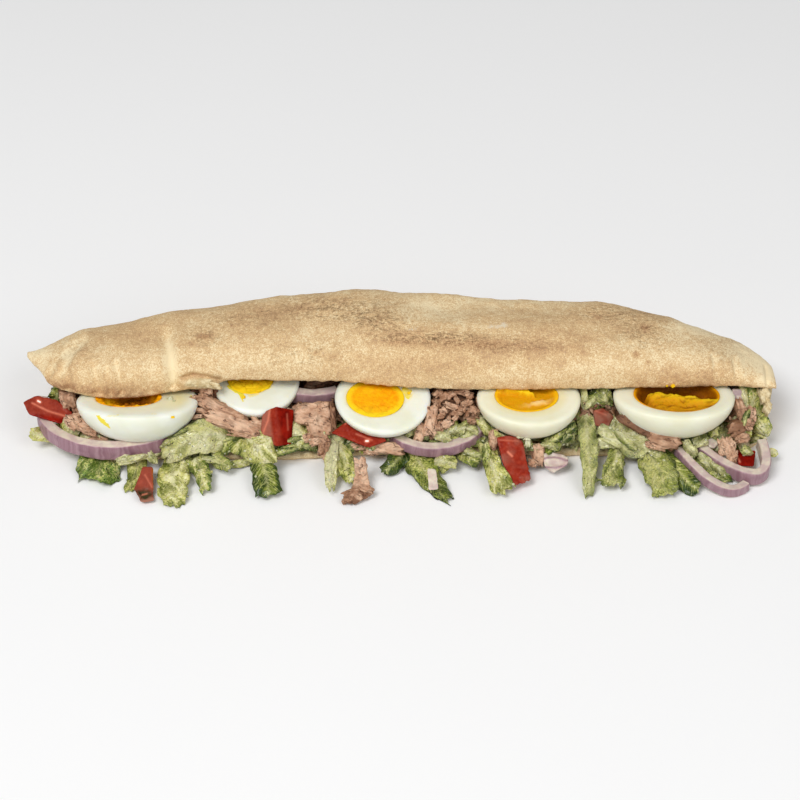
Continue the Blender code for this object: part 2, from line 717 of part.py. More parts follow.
onions = [
    onion_ring("onion_ring_1", oval((-129.5, 7.0, 16.9), 38, 30.0, 172, 368, 3.0, 18), 4.8, 7.8),
    onion_ring("onion_ring_2", oval((-40.0, 23.5, 24.2), 24, 20.5, 235, 300, 0, 6), 5.0, 6.3),
    onion_ring("onion_ring_3", oval((15.2, 6.6, 16.6), 28.0, 27.3, 190, 356, 8.6, 15), 4.8, 5.4),
    onion_ring("onion_ring_4", bow((134.4, -16.6, 10.4), (156, -40.5, 7.0), (171, -38.5, 8.0),
                                   (166.2, -13.5, 12.6), 15), 4.2, 6.6),
    onion_ring("onion_ring_5", bow((124.5, -18.5, 11.0), (134, -38, 8.6), (147, -46.0, 4.2),
                                   (156.5, -35.8, 5.2), 11), 4.0, 4.8),
    cut_piece("onion_strip", ((151, 23.5, 15), (155.5, 23.5, 15), (156, 16, 15), (152.5, 15, 15)),
              2.6, 0.9, ONION, 0.4),
    cut_piece("onion_bit_1", ((64.5, -6.3, 21), (69, -5.2, 20), (76, -7.2, 21), (76, -11, 23),
                              (69.5, -14.5, 24), (65.5, -12.5, 24)), 3.4, 0.9, ONION, 0.4),
    cut_piece("onion_bit_2", ((136.5, 0.2, 17), (140.5, 1.8, 17), (145.5, -1.0, 18),
                              (142.5, -4.0, 19), (137.5, -2.4, 19)), 4.0, 0.9, ONION, 0.4),
    cut_piece("onion_bit_3", ((12.2, -12.0, 30), (16.2, -12.6, 30), (17.2, -21.5, 34.5),
                              (12.8, -22.0, 34.5)), 3.4, 0.9, ONION, 0.4),
]

fixed = [loaf] + whites + yolks
for number, piece in enumerate(tomatoes):
    fit(piece, fixed + tomatoes[:number])
for number, piece in enumerate(onions):
    fit(piece, fixed + tomatoes + onions[:number])
fixed += tomatoes + onions


# Each lump: along, up and out of its middle, its size, its turn and its corners.
TUNA_LUMPS = (
    (-151.3, 18.0, 10.5, (8, 8, 9), 0, 13),
    (-143.5, 10.5, 14.5, (9, 7, 12), 20, 13),
    (-139.0, 5.0, 17.0, (12, 5, 8), 30, 13),
    # the broken fillet between the first two eggs: three layers, one in front of the other
    (-80.0, 14.0, 12.5, (22, 11, 9), 25, 15),
    (-76.0, 9.5, 14.5, (28, 8, 7), 22, 15),
    (-69.0, 6.0, 16.5, (15, 6, 6), 12, 11),
    (-91.5, 16.5, 13.0, (7, 3.5, 6), -30, 9),
    (-92.5, 12.0, 13.5, (8, 3.5, 6), -18, 9),
    # between the tomato and the third egg
    (-40.5, 10.5, 12.5, (11, 9, 9), 10, 13),
    (-34.0, 8.5, 13.0, (8, 12, 9), -15, 11),
    (-39.0, 3.5, 16.0, (10, 6, 7), 30, 11),
    (-34.5, -1.5, 17.0, (5, 8, 5), 20, 9),
    # loose flakes and a fillet between the third and fourth eggs
    (11.5, 9.5, 14.0, (8, 17, 8), 15, 13),
    (19.5, 16.0, 10.0, (10, 8, 8), -20, 11),
    (27.5, 18.5, 9.0, (11, 8, 8), 30, 11),
    (22.0, 9.5, 13.0, (9, 6, 7), 40, 9),
    (30.5, 11.5, 12.0, (9, 7, 8), -35, 11),
    (21.5, 2.5, 15.5, (9, 5, 6), 10, 9),
    (42.0, 0.5, 16.5, (5, 9, 6), 0, 9),
    (-4.5, -1.8, 16.5, (12, 5, 6), -8, 9),
    (63.5, -4.0, 17.5, (6, 9, 6), 0, 9),
    # the slice under the fifth egg
    (104.5, 7.5, 14.5, (16, 5, 8), -38, 11),
    (115.5, 1.6, 16.5, (24, 9, 6), -22, 15),
    # the right end
    (152.5, 13.5, 12.0, (6, 10, 7), 25, 11),
    (146.5, 4.0, 14.5, (9, 7, 7), 30, 11),
    (150.0, 9.0, 14.5, (7, 6, 6), -30, 9),
    (149.5, -3.0, 16.5, (9, 10, 4), 10, 9),
)


def clear_of_eggs(pieces):
    for piece in pieces:
        for space in spaces:
            carve(piece, space, HEAP_SOLVER)


def tuna_heap(name, grow):
    """The tuna: its bed and the lumps that show, or the larger room they need."""
    rng = random.Random(11)
    lumps = []
    for along, up, out, size, turn, corners in TUNA_LUMPS:
        lumps.append(crumb(rng, on_front(along, up, out), size, turn, TUNA, corners, grow))
    left, right = BED_LEFT + 6 - grow, BED_RIGHT - 6 + grow
    core = bed(name, lambda x: tuna_section(x, grow), left, right, TUNA)
    clear_of_eggs([core] + lumps)
    fuse(core, lumps)
    return core


spaces = [egg_space(egg, deep) for _, _, egg, deep in eggs]
tuna = tuna_heap("tuna", 0.0)
fit(tuna, fixed, HEAP_SOLVER, HEAP_GAP)
thinned(tuna, TUNA_SHARE)
tuna_room = tuna_heap("tuna room", TUNA_ROOM)


def strand(root, middle, tip, widths, ruffle=1.0, **kind):
    return leaf(leaf_rng, on_front(*root), on_front(*middle), on_front(*tip), widths, ruffle, **kind)


leaf_rng = random.Random(11)
lettuce = bed("lettuce", lettuce_section, BED_LEFT, BED_RIGHT, LETTUCE)
lettuce_pieces = [
    strand((-150, 17, 2), (-155, 20, 7), (-160, 23, 11), (9, 10, 7), 0.8),
    strand((-150, 5, 8), (-160, 5, 14), (-169, 5, 18), (10, 8, 4), 0.5),
    strand((-133, 0, 9.5), (-135.5, -8.5, 16.8), (-137, -19.5, 25), (12, 18, 17), 1.2),
    strand((-104, -1, 12), (-115, -5, 21.5), (-129, -9, 23), (7, 7, 5), 0.4),
    strand((-122, 0, 9.5), (-119, -11, 18.6), (-121.5, -23, 28), (7, 9, 5), 0.7),
    strand((-74, 0, 11), (-90.5, 1.5, 22), (-107, -8, 20), (10, 14, 6), 0.8),
    strand((-100, -4, 12), (-102, -17, 27), (-100.5, -29.0, 36), (10, 14, 9), 1.5),
    strand((-96, -3, 12), (-90, -13, 24), (-86.5, -22.5, 31), (9, 8, 6), 1.4),
    strand((-90, -2, 11), (-82, -9, 20), (-76, -12, 23), (8, 7, 5), 0.8),
    strand((-75, 1, 10), (-67, -1, 20.5), (-58, -12.5, 24), (10, 16, 10), 1.2),
    strand((-66, -2, 14), (-61.5, -13, 25.5), (-58.5, -25, 33), (8, 9, 12), 1.0),
    strand((-33, -3, 10), (-47, -2.5, 18.5), (-60, -7.5, 18.5), (6, 5, 3), 0.8),
    strand((-30.5, 2, 11), (-31, -8, 23), (-31, -22, 31.5), (5, 7, 5), 0.3, thick=2.0),
    strand((-28, 0, 11), (-25, -9, 23), (-21.5, -19, 30), (6, 8, 5), 0.8),
    strand((3, -0.4, 10.1), (-1, -8.5, 17.3), (-8, -14.5, 22), (8, 9, 5), 0.8),
    strand((6, -0.4, 10.1), (10, -12, 20.5), (21.5, -27.5, 34), (12, 13, 6), 0.9),
    strand((16, -0.4, 10.1), (19.5, -7.5, 17), (22.5, -13, 21), (8, 9, 7), 0.6),
    strand((26, -3, 12), (31, -7, 19), (35.5, -10, 22), (8, 8, 5), 0.9),
    strand((38.5, 2, 11), (41, -9, 23), (47, -23, 32.5), (7, 8, 12), 1.2),
    strand((80, 5, 10), (72, 0.5, 17.5), (64.5, -4.5, 19), (8, 9, 6), 0.9),
    strand((84.5, 15, 8), (85.2, -2, 20.5), (84, -23.5, 31.5), (7, 9, 5), 0.4, thick=1.6),
    strand((87, 16, 6), (91, 20, 11), (94, 24, 13), (8, 8, 5), 0.8),
    strand((90, 8, 10), (101, 1.5, 18.5), (113, -4.5, 19.5), (9, 14, 8), 1.0),
    strand((102, -2, 12), (97.5, -9, 21.5), (95, -20.5, 30), (8, 9, 12), 1.2),
    strand((110, -1, 12), (116, -12, 24), (119, -25, 33), (9, 16, 8), 1.0),
    strand((126, 0, 11), (129, -4, 19), (131.5, -9, 22), (9, 8, 5), 0.9),
    strand((155, 8, 4), (160, 16, 9.5), (163.5, 24, 12.5), (10, 15, 9), 1.4),
    strand((156, 6, 5), (162, 7, 11), (168, 2, 12), (8, 9, 5), 1.2),
    strand((132, -3, 14), (140, -12, 21), (147, -18.5, 25.5), (9, 11, 6), 1.3),
]
clear_of_eggs([lettuce] + lettuce_pieces)
fuse(lettuce, lettuce_pieces)
carve(lettuce, tuna_room, HEAP_SOLVER)
fit(lettuce, fixed, HEAP_SOLVER, HEAP_GAP)
thinned(lettuce, LETTUCE_SHARE)

# The flake that hangs at the front lies on the leaves, clear of the rest of the tuna.
loose_flake = cut_piece(
    "tuna_flake",
    ((-19.5, -9.5, 28), (-14.5, -13.5, 29.5), (-13.5, -19, 32), (-11.5, -23, 33.5),
     (-15.0, -26, 34.5), (-20.0, -28.5, 36), (-25.5, -27.5, 36), (-22.0, -22, 33.5),
     (-20.5, -16, 31)),
    2.6, 0.9, TUNA, 0.4,
)
fit(loose_flake, fixed + [tuna, lettuce])

for helper in spaces + [tuna_room]:
    bpy.data.objects.remove(helper, do_unlink=True)
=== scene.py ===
"""Looks for the tuna and egg sandwich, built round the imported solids.

Points are worked out in millimetres in the part's own layout: X along the loaf, -Y its
open front, Z up from the table. Pieces on the leaning front are placed by how far along,
up and out they lie, and marks on the crust by a column and a row of the photograph.
"""

import math
import random
from collections import namedtuple

import bmesh
import bpy
import numpy as np
from mathutils import Matrix, Vector, kdtree, noise


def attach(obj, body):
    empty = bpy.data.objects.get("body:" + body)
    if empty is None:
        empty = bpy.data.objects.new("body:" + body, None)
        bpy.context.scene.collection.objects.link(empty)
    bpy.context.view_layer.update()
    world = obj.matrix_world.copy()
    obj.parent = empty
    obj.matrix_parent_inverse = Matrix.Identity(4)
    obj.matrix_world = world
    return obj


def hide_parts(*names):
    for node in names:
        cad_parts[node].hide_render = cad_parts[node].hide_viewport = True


TILT_SEED = 1795527883  # sets how the torn plates of tuna, crumb and dressing tilt
noise.seed_set(TILT_SEED)

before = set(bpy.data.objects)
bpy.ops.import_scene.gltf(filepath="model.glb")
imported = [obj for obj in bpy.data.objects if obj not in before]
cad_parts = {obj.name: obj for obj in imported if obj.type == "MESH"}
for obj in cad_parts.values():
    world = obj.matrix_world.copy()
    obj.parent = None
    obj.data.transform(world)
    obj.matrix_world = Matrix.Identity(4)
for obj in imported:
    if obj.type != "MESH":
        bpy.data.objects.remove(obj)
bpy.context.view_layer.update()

MM = 0.001
CENTIMETRE = 0.01
FORWARD = 9.5  # the layout's middle lies this far in front of its own zero
LEAN = math.radians(40)
VIEW_DOWN = math.radians(40)
VIEW_FAR = 900.0  # millimetres from the camera to what it looks at
VIEW_UP = 23.9  # how high over the table that lies
PHOTO_MIDDLE = 400  # the photograph's middle column and row
PIXEL = 0.455  # millimetres of the filling's front that one pixel of the photograph shows
PIXEL_OUT = 15.4  # how far out of the front a pixel shows exactly that much
MIDDLE_UP = 18.3  # how far up the front the photograph's middle row looks
TABLE = 0.4  # nothing loose lies lower than this


# ---------------------------------------------------------------- camera
def set_camera():
    data = bpy.data.cameras.new("photo camera")
    camera = bpy.data.objects.new("photo camera", data)
    bpy.context.scene.collection.objects.link(camera)
    data.lens = 89.0
    data.sensor_width = 36.0
    data.clip_start = 0.01
    middle = Vector((0, -FORWARD, VIEW_UP)) * MM
    camera.location = middle + VIEW_FAR * MM * Vector((0, -math.cos(VIEW_DOWN), math.sin(VIEW_DOWN)))
    camera.rotation_euler = (math.pi / 2 - VIEW_DOWN, 0, 0)
    bpy.context.scene.camera = camera


set_camera()


# ---------------------------------------------------------------- finishes
def colour(red, green, blue):
    """A colour as it shows (0 to 255), for a shader."""
    shares = (c / 255 for c in (red, green, blue))
    return (*(c / 12.92 if c <= 0.04045 else ((c + 0.055) / 1.055) ** 2.4 for c in shares), 1.0)


def new_node(tree, kind, settings=None, values=None):
    """A node, its settings made first, then the values or links of its sockets."""
    node = tree.nodes.new(kind)
    for key, value in (settings or {}).items():
        setattr(node, key, value)
    for key, value in (values or {}).items():
        value = value.socket if isinstance(value, Value) else value
        if isinstance(value, bpy.types.NodeSocket):
            tree.links.new(value, node.inputs[key])
        else:
            node.inputs[key].default_value = value
    return node


class Value:
    """One output of a finish's nodes. Python's own signs turn it into Math nodes."""

    def __init__(self, finish, socket):
        self.finish, self.socket = finish, socket

    def math(self, operation, *values):
        return self.finish.add("ShaderNodeMath", {"operation": operation}, dict(enumerate(values)))

    def __add__(self, other):
        return self.math("ADD", self, other)

    def __sub__(self, other):
        return self.math("SUBTRACT", self, other)

    def __rsub__(self, other):
        return self.math("SUBTRACT", other, self)

    def __mul__(self, other):
        return self.math("MULTIPLY", self, other)

    __radd__ = __add__
    __rmul__ = __mul__

    def apart(self, other):
        """How far it lies from another value, to either side."""
        return self.math("ABSOLUTE", self - other)

    def band(self, low, high):
        """0 below low, 1 above high, with a soft step between; turned round if low is above."""
        return self.finish.add(
            "ShaderNodeMapRange",
            {"interpolation_type": "SMOOTHSTEP"},
            {0: self, 1: low, 2: high, 3: 0.0, 4: 1.0},
        )


class Finish:
    """A material of one Principled shader. What stays the same over it is set first: soft is
    how much light goes in, how deep in millimetres, and how far each colour spreads."""

    def __init__(self, name, soft=None, **steady):
        self.material = bpy.data.materials.new(name)
        self.material.use_nodes = True
        self.tree = self.material.node_tree
        self.shader = self.tree.nodes["Principled BSDF"]
        if soft:
            weight, depth, spread = soft
            steady.update(Subsurface_Weight=weight, Subsurface_Scale=depth * MM, Subsurface_Radius=spread)
        self.wear(**steady)
        self.place = self.add("ShaderNodeTexCoord", out="Object")

    def add(self, kind, settings=None, values=None, out=0):
        return Value(self, new_node(self.tree, kind, settings, values).outputs[out])

    def noise(self, where, scale, detail, **more):
        values = {"Vector": where, "Scale": scale, "Detail": detail, **more}
        return self.add("ShaderNodeTexNoise", {}, values)

    def grain(self, size, detail=2.0, rough=0.5, stretch=None, turn=(0, 0, 0), bend=0.0):
        """Cloudy noise whose patches are size millimetres across, drawn out along an axis."""
        where = self.place
        if stretch:
            angles = tuple(math.radians(a) for a in turn)
            where = self.add("ShaderNodeMapping", {}, {"Vector": where, "Rotation": angles})
            scale = tuple(1 / s for s in stretch)
            where = self.add("ShaderNodeMapping", {}, {"Vector": where, "Scale": scale})
        return self.noise(where, 1 / (size * MM), detail, Roughness=rough, Distortion=bend)

    def dots(self, apart):
        """Distance to the nearest of scattered points, so many millimetres apart."""
        values = {"Vector": self.place, "Scale": 1 / (apart * MM)}
        return self.add("ShaderNodeTexVoronoi", {"feature": "F1"}, values)

    def mark(self, name):
        """An attribute that the mesh carries at its points."""
        return self.add("ShaderNodeAttribute", {"attribute_name": name}, out="Fac")

    def coats(self, shade, *coats):
        """Colours laid over one another, each by its own share from 0 to 1."""
        settings = {"data_type": "RGBA", "clamp_factor": True}
        for over, share in coats:
            pair = [colour(*c) if isinstance(c, tuple) else c for c in (shade, over)]
            shade = self.add("ShaderNodeMix", settings, {0: share, 6: pair[0], 7: pair[1]}, out=2)
        return shade

    def relief(self, height, depth, under=None):
        """A bump from height, 0 to 1, that is depth millimetres deep."""
        values = {"Height": height, "Distance": depth * MM, "Strength": 1.0}
        if under is not None:
            values["Normal"] = under
        return self.add("ShaderNodeBump", {}, values)

    def wear(self, **sockets):
        for key, value in sockets.items():
            socket = self.shader.inputs[key.replace("_", " ")]
            if isinstance(value, Value):
                self.tree.links.new(value.socket, socket)
            else:
                socket.default_value = value
        return self.material


def crust_finish():
    f = Finish("baked flatbread", Specular_IOR_Level=0.2)
    flour = f.mark("flour")
    mottle = f.grain(5, 4, 0.65)
    fine = f.grain(1.5, 4, 0.75)
    dust = f.grain(0.6, 3, 0.7)
    baked = f.mark("brown") + (f.grain(17, 3, 0.6) - 0.5) * 0.9 + (mottle - 0.5) * 1.2 + (fine - 0.5) * 1.7
    baked = baked - f.mark("pale") + (dust - 0.5) * 3.3
    caked = (flour * 1.4 + (fine - 0.5) * 2.2 + (dust - 0.5) * 2.6).band(0.5, 0.8)
    line = f.grain(2.0, 4, 0.65, stretch=(3.0, 1, 1), bend=0.9)
    wrinkle = f.mark("wrinkle") * line.band(0.46, 0.5) * line.band(0.54, 0.5) * fine.band(0.35, 0.6)
    inner = f.coats((236, 220, 180), ((200, 174, 124), f.grain(2.4, 3, 0.65).band(0.35, 0.68)))
    shade = f.coats(
        (250, 230, 188),
        ((226, 192, 142), baked.band(-0.45, 0.25)),
        ((203, 164, 121), baked.band(0.2, 0.75)),
        ((170, 126, 88), baked.band(0.7, 1.35)),
        ((250, 236, 206), dust.band(0.55, 0.7) * mottle.band(0.42, 0.6) * 0.4),
        ((250, 240, 216), caked * flour.band(0.1, 0.3) * 0.75),
        ((162, 112, 72), fine.band(0.62, 0.7) * mottle.band(0.5, 0.6) * 0.7),
        # painted shade in the wrinkles' grooves
        ((136, 96, 64), wrinkle * 0.8),
        (inner, f.mark("crumb")),
    )
    normal = f.relief(mottle * 0.5 + fine * 0.5 - wrinkle * 0.5, 0.8, f.relief(dust, 0.25))
    return f.wear(Base_Color=shade, Roughness=0.74 + fine * 0.2, Normal=normal)


def white_finish():
    f = Finish("boiled egg white", (0.4, 4.0, (1.0, 0.85, 0.6)), Specular_IOR_Level=0.35)
    smear = (f.mark("smear") - f.grain(1.3, 3, 0.6) * 0.7).band(0.12, 0.2)
    shade = f.coats(
        (243, 246, 236),
        ((233, 235, 215), f.grain(14, 2).band(0.3, 0.75)),
        # the yolk's stain round the yolk and cream on the whites, with painted shade on the faces under the
        # bread's lip
        ((236, 220, 146), f.mark("stain_and_shade")),
        ((243, 224, 66), smear),
        ((246, 226, 120), (f.mark("faint") * f.grain(2.2, 3, 0.6)).band(0.3, 0.5) * 0.7),
    )
    skin = f.grain(3.2, 2)
    normal = f.relief(f.grain(0.9, 2) * 0.3 + skin + smear * 0.6, 0.12)
    return f.wear(Base_Color=shade, Roughness=0.24 + skin * 0.18, Normal=normal)


def yolk_finish():
    f = Finish("boiled yolk", (0.15, 2.0, (1.0, 0.5, 0.05)), Specular_IOR_Level=0.12)
    lump, fine = f.grain(2.6, 3, 0.6), f.grain(0.7, 2, 0.6)
    shade = f.coats(
        (250, 160, 0),
        ((254, 184, 4), lump.band(0.35, 0.65)),
        # brighter yellow, partly painted light; darker orange, partly painted shade
        ((255, 216, 30), f.mark("bright_and_lit")),
        ((138, 74, 0), f.mark("dark_and_shade") * (lump * 0.6 + 0.65)),
        ((244, 224, 176), f.mark("cream")),
    )
    normal = f.relief(lump * 0.7 + fine * 0.5, 0.5)
    return f.wear(Base_Color=shade, Roughness=0.42 + fine * 0.3, Normal=normal)


def onion_finish():
    f = Finish("sliced red onion", (0.3, 2.0, (1.0, 0.6, 0.7)))
    lilac = f.mark("lilac")
    stripe = f.add("ShaderNodeCombineXYZ", {}, {0: f.mark("along") + f.grain(6, 2) * 0.004})
    striae = f.noise(stripe, 430.0, 3.0)
    flesh = f.coats(
        (226, 213, 192),
        ((208, 186, 176), f.grain(5, 3).band(0.38, 0.62)),
        ((168, 142, 150), lilac * f.grain(3, 2).band(0.25, 0.6) * 0.8),
    )
    side = f.coats(
        (136, 88, 106),
        ((178, 140, 150), striae.band(0.3, 0.72)),
        ((112, 66, 88), f.grain(8, 2).band(0.5, 0.75) * 0.6),
        ((172, 150, 150), lilac * (striae * 0.5 + 0.6)),
    )
    shade = f.coats(flesh, (side, f.mark("skin")))
    normal = f.relief(striae * 0.4 + f.grain(1.4, 2) * 0.6, 0.15)
    return f.wear(Base_Color=shade, Roughness=0.3 + f.grain(2.2, 2) * 0.2, Normal=normal)


def tomato_finish():
    f = Finish("cut tomato", (0.06, 1.5, (1.0, 0.2, 0.1)), Coat_Roughness=0.1, Specular_IOR_Level=0.06)
    # light marks the painted highlights: bright edges and wet glints
    skin, light = f.mark("skin"), f.mark("light")
    fibre = f.grain(1.6, 3, 0.55, stretch=(1, 1, 3.5), turn=(-40, 0, 0))
    patch, fine = f.grain(4.5, 3, 0.6), f.grain(0.8, 3, 0.6)
    peel = f.coats((104, 6, 0), ((152, 26, 10), patch.band(0.3, 0.7)))
    shade = f.coats(
        (140, 36, 20),
        ((162, 56, 36), (fibre * 0.4 + patch * 0.6).band(0.4, 0.64)),
        ((190, 100, 76), (fibre * 0.6 + patch * 0.4).band(0.62, 0.84) * 0.35),
        ((172, 118, 98), f.mark("pink") * (fine * 0.6 + 0.7)),
        (peel, skin),
        ((60, 56, 32), f.mark("gel")),
        ((176, 96, 30), f.mark("orange")),
        ((228, 132, 104), light),
        ((255, 240, 232), (light - 1.2 + fine * 0.4).band(0.1, 0.4)),
    )
    normal = f.relief(fibre * (1 - skin * 0.85) + fine * 0.2, 0.25)
    return f.wear(Base_Color=shade, Roughness=0.36 - skin * 0.16, Coat_Weight=0.04, Normal=normal)


def tuna_finish():
    f = Finish("flaked tuna", (0.12, 1.5, (1.0, 0.6, 0.45)), Specular_IOR_Level=0.35)
    tone = f.mark("tone")
    fibre = f.grain(0.8, 3, 0.7, stretch=(5.0, 1, 1), turn=(0, -20, 0), bend=0.4)
    patch = f.grain(5, 3, 0.6)
    # crack: thin dark lines, painted shade in the cracks between the plates
    crack = f.grain(2.8, 2, 0.5, stretch=(2.5, 1, 1), turn=(0, -20, 0), bend=0.5).apart(0.5).band(0.03, 0.0)
    crack = crack * f.grain(3.0, 1).band(0.46, 0.58)
    shade = f.coats(
        (230, 192, 160),
        ((192, 144, 112), (fibre * 0.45 + patch * 0.55).band(0.38, 0.64)),
        # tone: browner meat, and on the heap also painted shadow under the bread's lip
        ((160, 116, 86), (patch * 0.4 + tone * 0.8).band(0.45, 0.9)),
        ((112, 74, 50), (patch * 0.3 + tone * 0.9).band(0.8, 1.1)),
        # paler fibres, partly painted highlight
        ((238, 208, 186), (fibre - tone * 0.3).band(0.5, 0.64) * 0.6),
        ((92, 56, 38), crack * 0.95),
        # deep: painted shade in the cracks and in the gaps under the bread's lip
        ((84, 54, 38), f.mark("deep")),
    )
    normal = f.relief(fibre * 0.7 + f.grain(0.6, 2) * 0.35 - crack * 0.6, 0.42)
    return f.wear(Base_Color=shade, Roughness=0.44 + fibre * 0.25, Normal=normal)


def leaf_finish():
    f = Finish("dressed lettuce", (0.15, 1.0, (0.7, 1.0, 0.35)), Coat_Roughness=0.07, Specular_IOR_Level=0.2)
    vein, fold, crisp, across = f.mark("vein"), f.mark("fold"), f.mark("crisp"), f.mark("across")
    middling = f.grain(2.0, 3, 0.6)
    fine = f.grain(0.8, 3, 0.7)
    # thin veins that leave the rib at a slant, and sharp creases that the colour darkens as painted shade
    slant = {0: f.mark("along") - across.apart(0.0) * 1.2, 1: across * 0.25}
    branch = f.noise(f.add("ShaderNodeCombineXYZ", {}, slant), 0.42, 2.0).apart(0.5).band(0.04, 0.0)
    crease = f.grain(3.4, 2, 0.5, bend=0.6).apart(0.5).band(0.03, 0.0)
    depth = f.mark("green") + (f.grain(7, 3, 0.55) - 0.5) * 0.2
    depth = depth + ((middling - 0.5) * 0.3 + (fine - 0.5) * 1.0) * crisp
    # painted shade: darker in the folds' valleys and along the creases
    depth = depth - fold * 0.1 + crease * crisp * 0.22 - branch * 0.3
    fresh = f.coats((140, 150, 58), ((122, 156, 62), crisp.band(1.55, 1.85)))
    # the dressing film: real dressing, laid thicker on crests than in valleys, which paints light on the
    # crests
    film = f.mark("sauce") + (f.grain(3.4, 3, 0.65) - 0.5) * 0.6 + (fine - 0.5) * 1.1
    film = (film + fold * 0.15).band(0.35, 0.95)
    shade = f.coats(
        (238, 233, 184),
        ((212, 208, 122), depth.band(-0.1, 0.34)),
        (fresh, depth.band(0.3, 0.68)),
        ((48, 70, 20), depth.band(0.64, 1.05)),
        ((216, 214, 156), vein * 0.7 + branch * depth.band(0.2, 0.5) * 0.4),
        # painted shade in the valleys of the folds
        ((82, 92, 26), fold.band(-0.1, -1.0) * (depth.band(-0.2, 0.45) * 0.38 + 0.12)),
        ((214, 213, 166), film * 0.45),
        ((52, 46, 32), f.dots(3.1).band(0.11, 0.08) * (film * 0.7 + 0.2)),
    )
    normal = f.relief(vein * 0.7 + middling * 0.7 + fine * 0.5 + branch * 0.3 - crease * 0.6, 0.5)
    normal = f.relief(film + f.grain(1.3, 2) * 0.5, 0.22, normal)
    return f.wear(Base_Color=shade, Roughness=0.34 - film * 0.14, Coat_Weight=0.2 + film * 0.4, Normal=normal)


def sauce_finish():
    f = Finish("creamy dressing", (0.3, 2.0, (1.0, 0.95, 0.7)))
    cloud = f.grain(3, 2)
    shade = f.coats((214, 211, 178), ((188, 188, 142), cloud.band(0.35, 0.7)))
    return f.wear(Base_Color=shade, Roughness=0.2 + cloud * 0.15, Normal=f.relief(f.grain(0.8, 2), 0.1))


def pepper_finish():
    f = Finish("ground pepper")
    shade = f.coats((48, 42, 30), ((92, 74, 46), f.grain(0.5, 1).band(0.4, 0.7)))
    normal = f.relief(f.grain(0.3, 1), 0.1)
    return f.wear(Base_Color=shade, Roughness=0.6 + f.grain(0.4, 1) * 0.3, Normal=normal)


def table_finish():
    f = Finish("pale table")
    shade = f.coats((253, 253, 253), ((251, 251, 251), f.grain(160, 2)))
    return f.wear(Base_Color=shade, Roughness=0.6 + f.grain(4, 2) * 0.1)


CRUST, WHITE, YOLK, ONION = crust_finish(), white_finish(), yolk_finish(), onion_finish()
TOMATO, TUNA, LEAF, SAUCE = tomato_finish(), tuna_finish(), leaf_finish(), sauce_finish()
PEPPER, TABLE_TOP = pepper_finish(), table_finish()


# ---------------------------------------------------------------- small helpers
def on_front(along, up, out):
    """A point on the filling's leaning front: along the loaf, up the front, out of it."""
    sine, cosine = math.sin(LEAN), math.cos(LEAN)
    return Vector((along, up * sine - out * cosine, up * cosine + out * sine))


def up_of(points):
    """How far up the filling's front each point lies."""
    return points[:, 1] * math.sin(LEAN) + points[:, 2] * math.cos(LEAN)


def out_of(points):
    """How far out of the filling's front each point lies."""
    return points[:, 2] * math.sin(LEAN) - points[:, 1] * math.cos(LEAN)


def pixel_at(out):
    """Millimetres that a pixel shows so far out of the filling's front."""
    return PIXEL * (1 - (out - PIXEL_OUT) / VIEW_FAR)


def as_seen(points):
    """The column and row of the photograph at which each point shows."""
    size = pixel_at(out_of(points))
    return PHOTO_MIDDLE + points[:, 0] / size, PHOTO_MIDDLE - (up_of(points) - MIDDLE_UP) / size


def at_pixel(column, row, out):
    """The point that lies out of the filling's front by out, where a pixel shows it."""
    size = pixel_at(out)
    return on_front((column - PHOTO_MIDDLE) * size, MIDDLE_UP + (PHOTO_MIDDLE - row) * size, out)


FACING = np.array(on_front(0, 0, 1))  # the way that the filling's front faces


def ease(t):
    t = np.clip(t, 0.0, 1.0)
    return t * t * (3 - 2 * t)


def shift_by(seed):
    return Vector((seed * 7.3, seed * 3.1, seed * 5.7))


def rough(points, size, seed=0.0):
    """Smooth noise from -1 to 1 at each point, with swells of about size millimetres."""
    shift = shift_by(seed)
    return np.array([noise.noise(Vector(p) / size + shift) for p in points])


def broken(points, size, seed=0.0):
    """Chunks about size millimetres across: how far a point is from a crack, 0 to 1, its
    chunk's own height, -1 to 1, and how its chunk tilts."""
    shift = shift_by(seed)
    chunks = []
    for p in points:
        at = Vector(p) / size + shift
        (first, second, *_), near = noise.voronoi(at)
        tilt = (at - near[0]).dot(noise.noise_vector(near[0] * 5.3))
        chunks.append((min(1.0, (second - first) * 5), noise.noise(near[0] * 9.7), tilt))
    return np.array(chunks).T


def linked(name, mesh):
    piece = bpy.data.objects.new(name, mesh)
    bpy.context.scene.collection.objects.link(piece)
    return piece


def turn_outward(mesh):
    """Turns a closed mesh's faces outwards and shades it smooth."""
    shell = bmesh.new()
    shell.from_mesh(mesh)
    bmesh.ops.recalc_face_normals(shell, faces=shell.faces)
    shell.to_mesh(mesh)
    shell.free()
    mesh.shade_smooth()


def in_frame(points):
    """Points of the layout in the frame's metres."""
    return (np.asarray(points, float) + (0, -FORWARD, 0)) * MM


def set_marks(piece, **marks):
    for key, values in marks.items():
        layer = piece.data.attributes.get(key) or piece.data.attributes.new(key, "FLOAT", "POINT")
        layer.data.foreach_set("value", np.asarray(values, np.float32))


def mark_of(piece, key):
    values = np.empty(len(piece.data.vertices), np.float32)
    piece.data.attributes[key].data.foreach_get("value", values)
    return values


def shape(name, points, faces, finish, marks):
    """A closed piece from points in millimetres, its faces turned outwards."""
    mesh = bpy.data.meshes.new(name)
    mesh.from_pydata(in_frame(points).tolist(), [], faces)
    mesh.materials.append(finish)
    turn_outward(mesh)
    piece = linked(name, mesh)
    set_marks(piece, **marks)
    return piece


def threes(rows, key):
    flat = np.empty(len(rows) * 3)
    rows.foreach_get(key, flat)
    return flat.reshape(-1, 3)


def points_of(piece):
    """A piece's points in millimetres of the layout."""
    return threes(piece.data.vertices, "co") / MM + (0, FORWARD, 0)


def normals_of(piece):
    return threes(piece.data.vertex_normals, "vector")


def move_to(piece, points):
    piece.data.vertices.foreach_set("co", in_frame(points).ravel())
    piece.data.update()


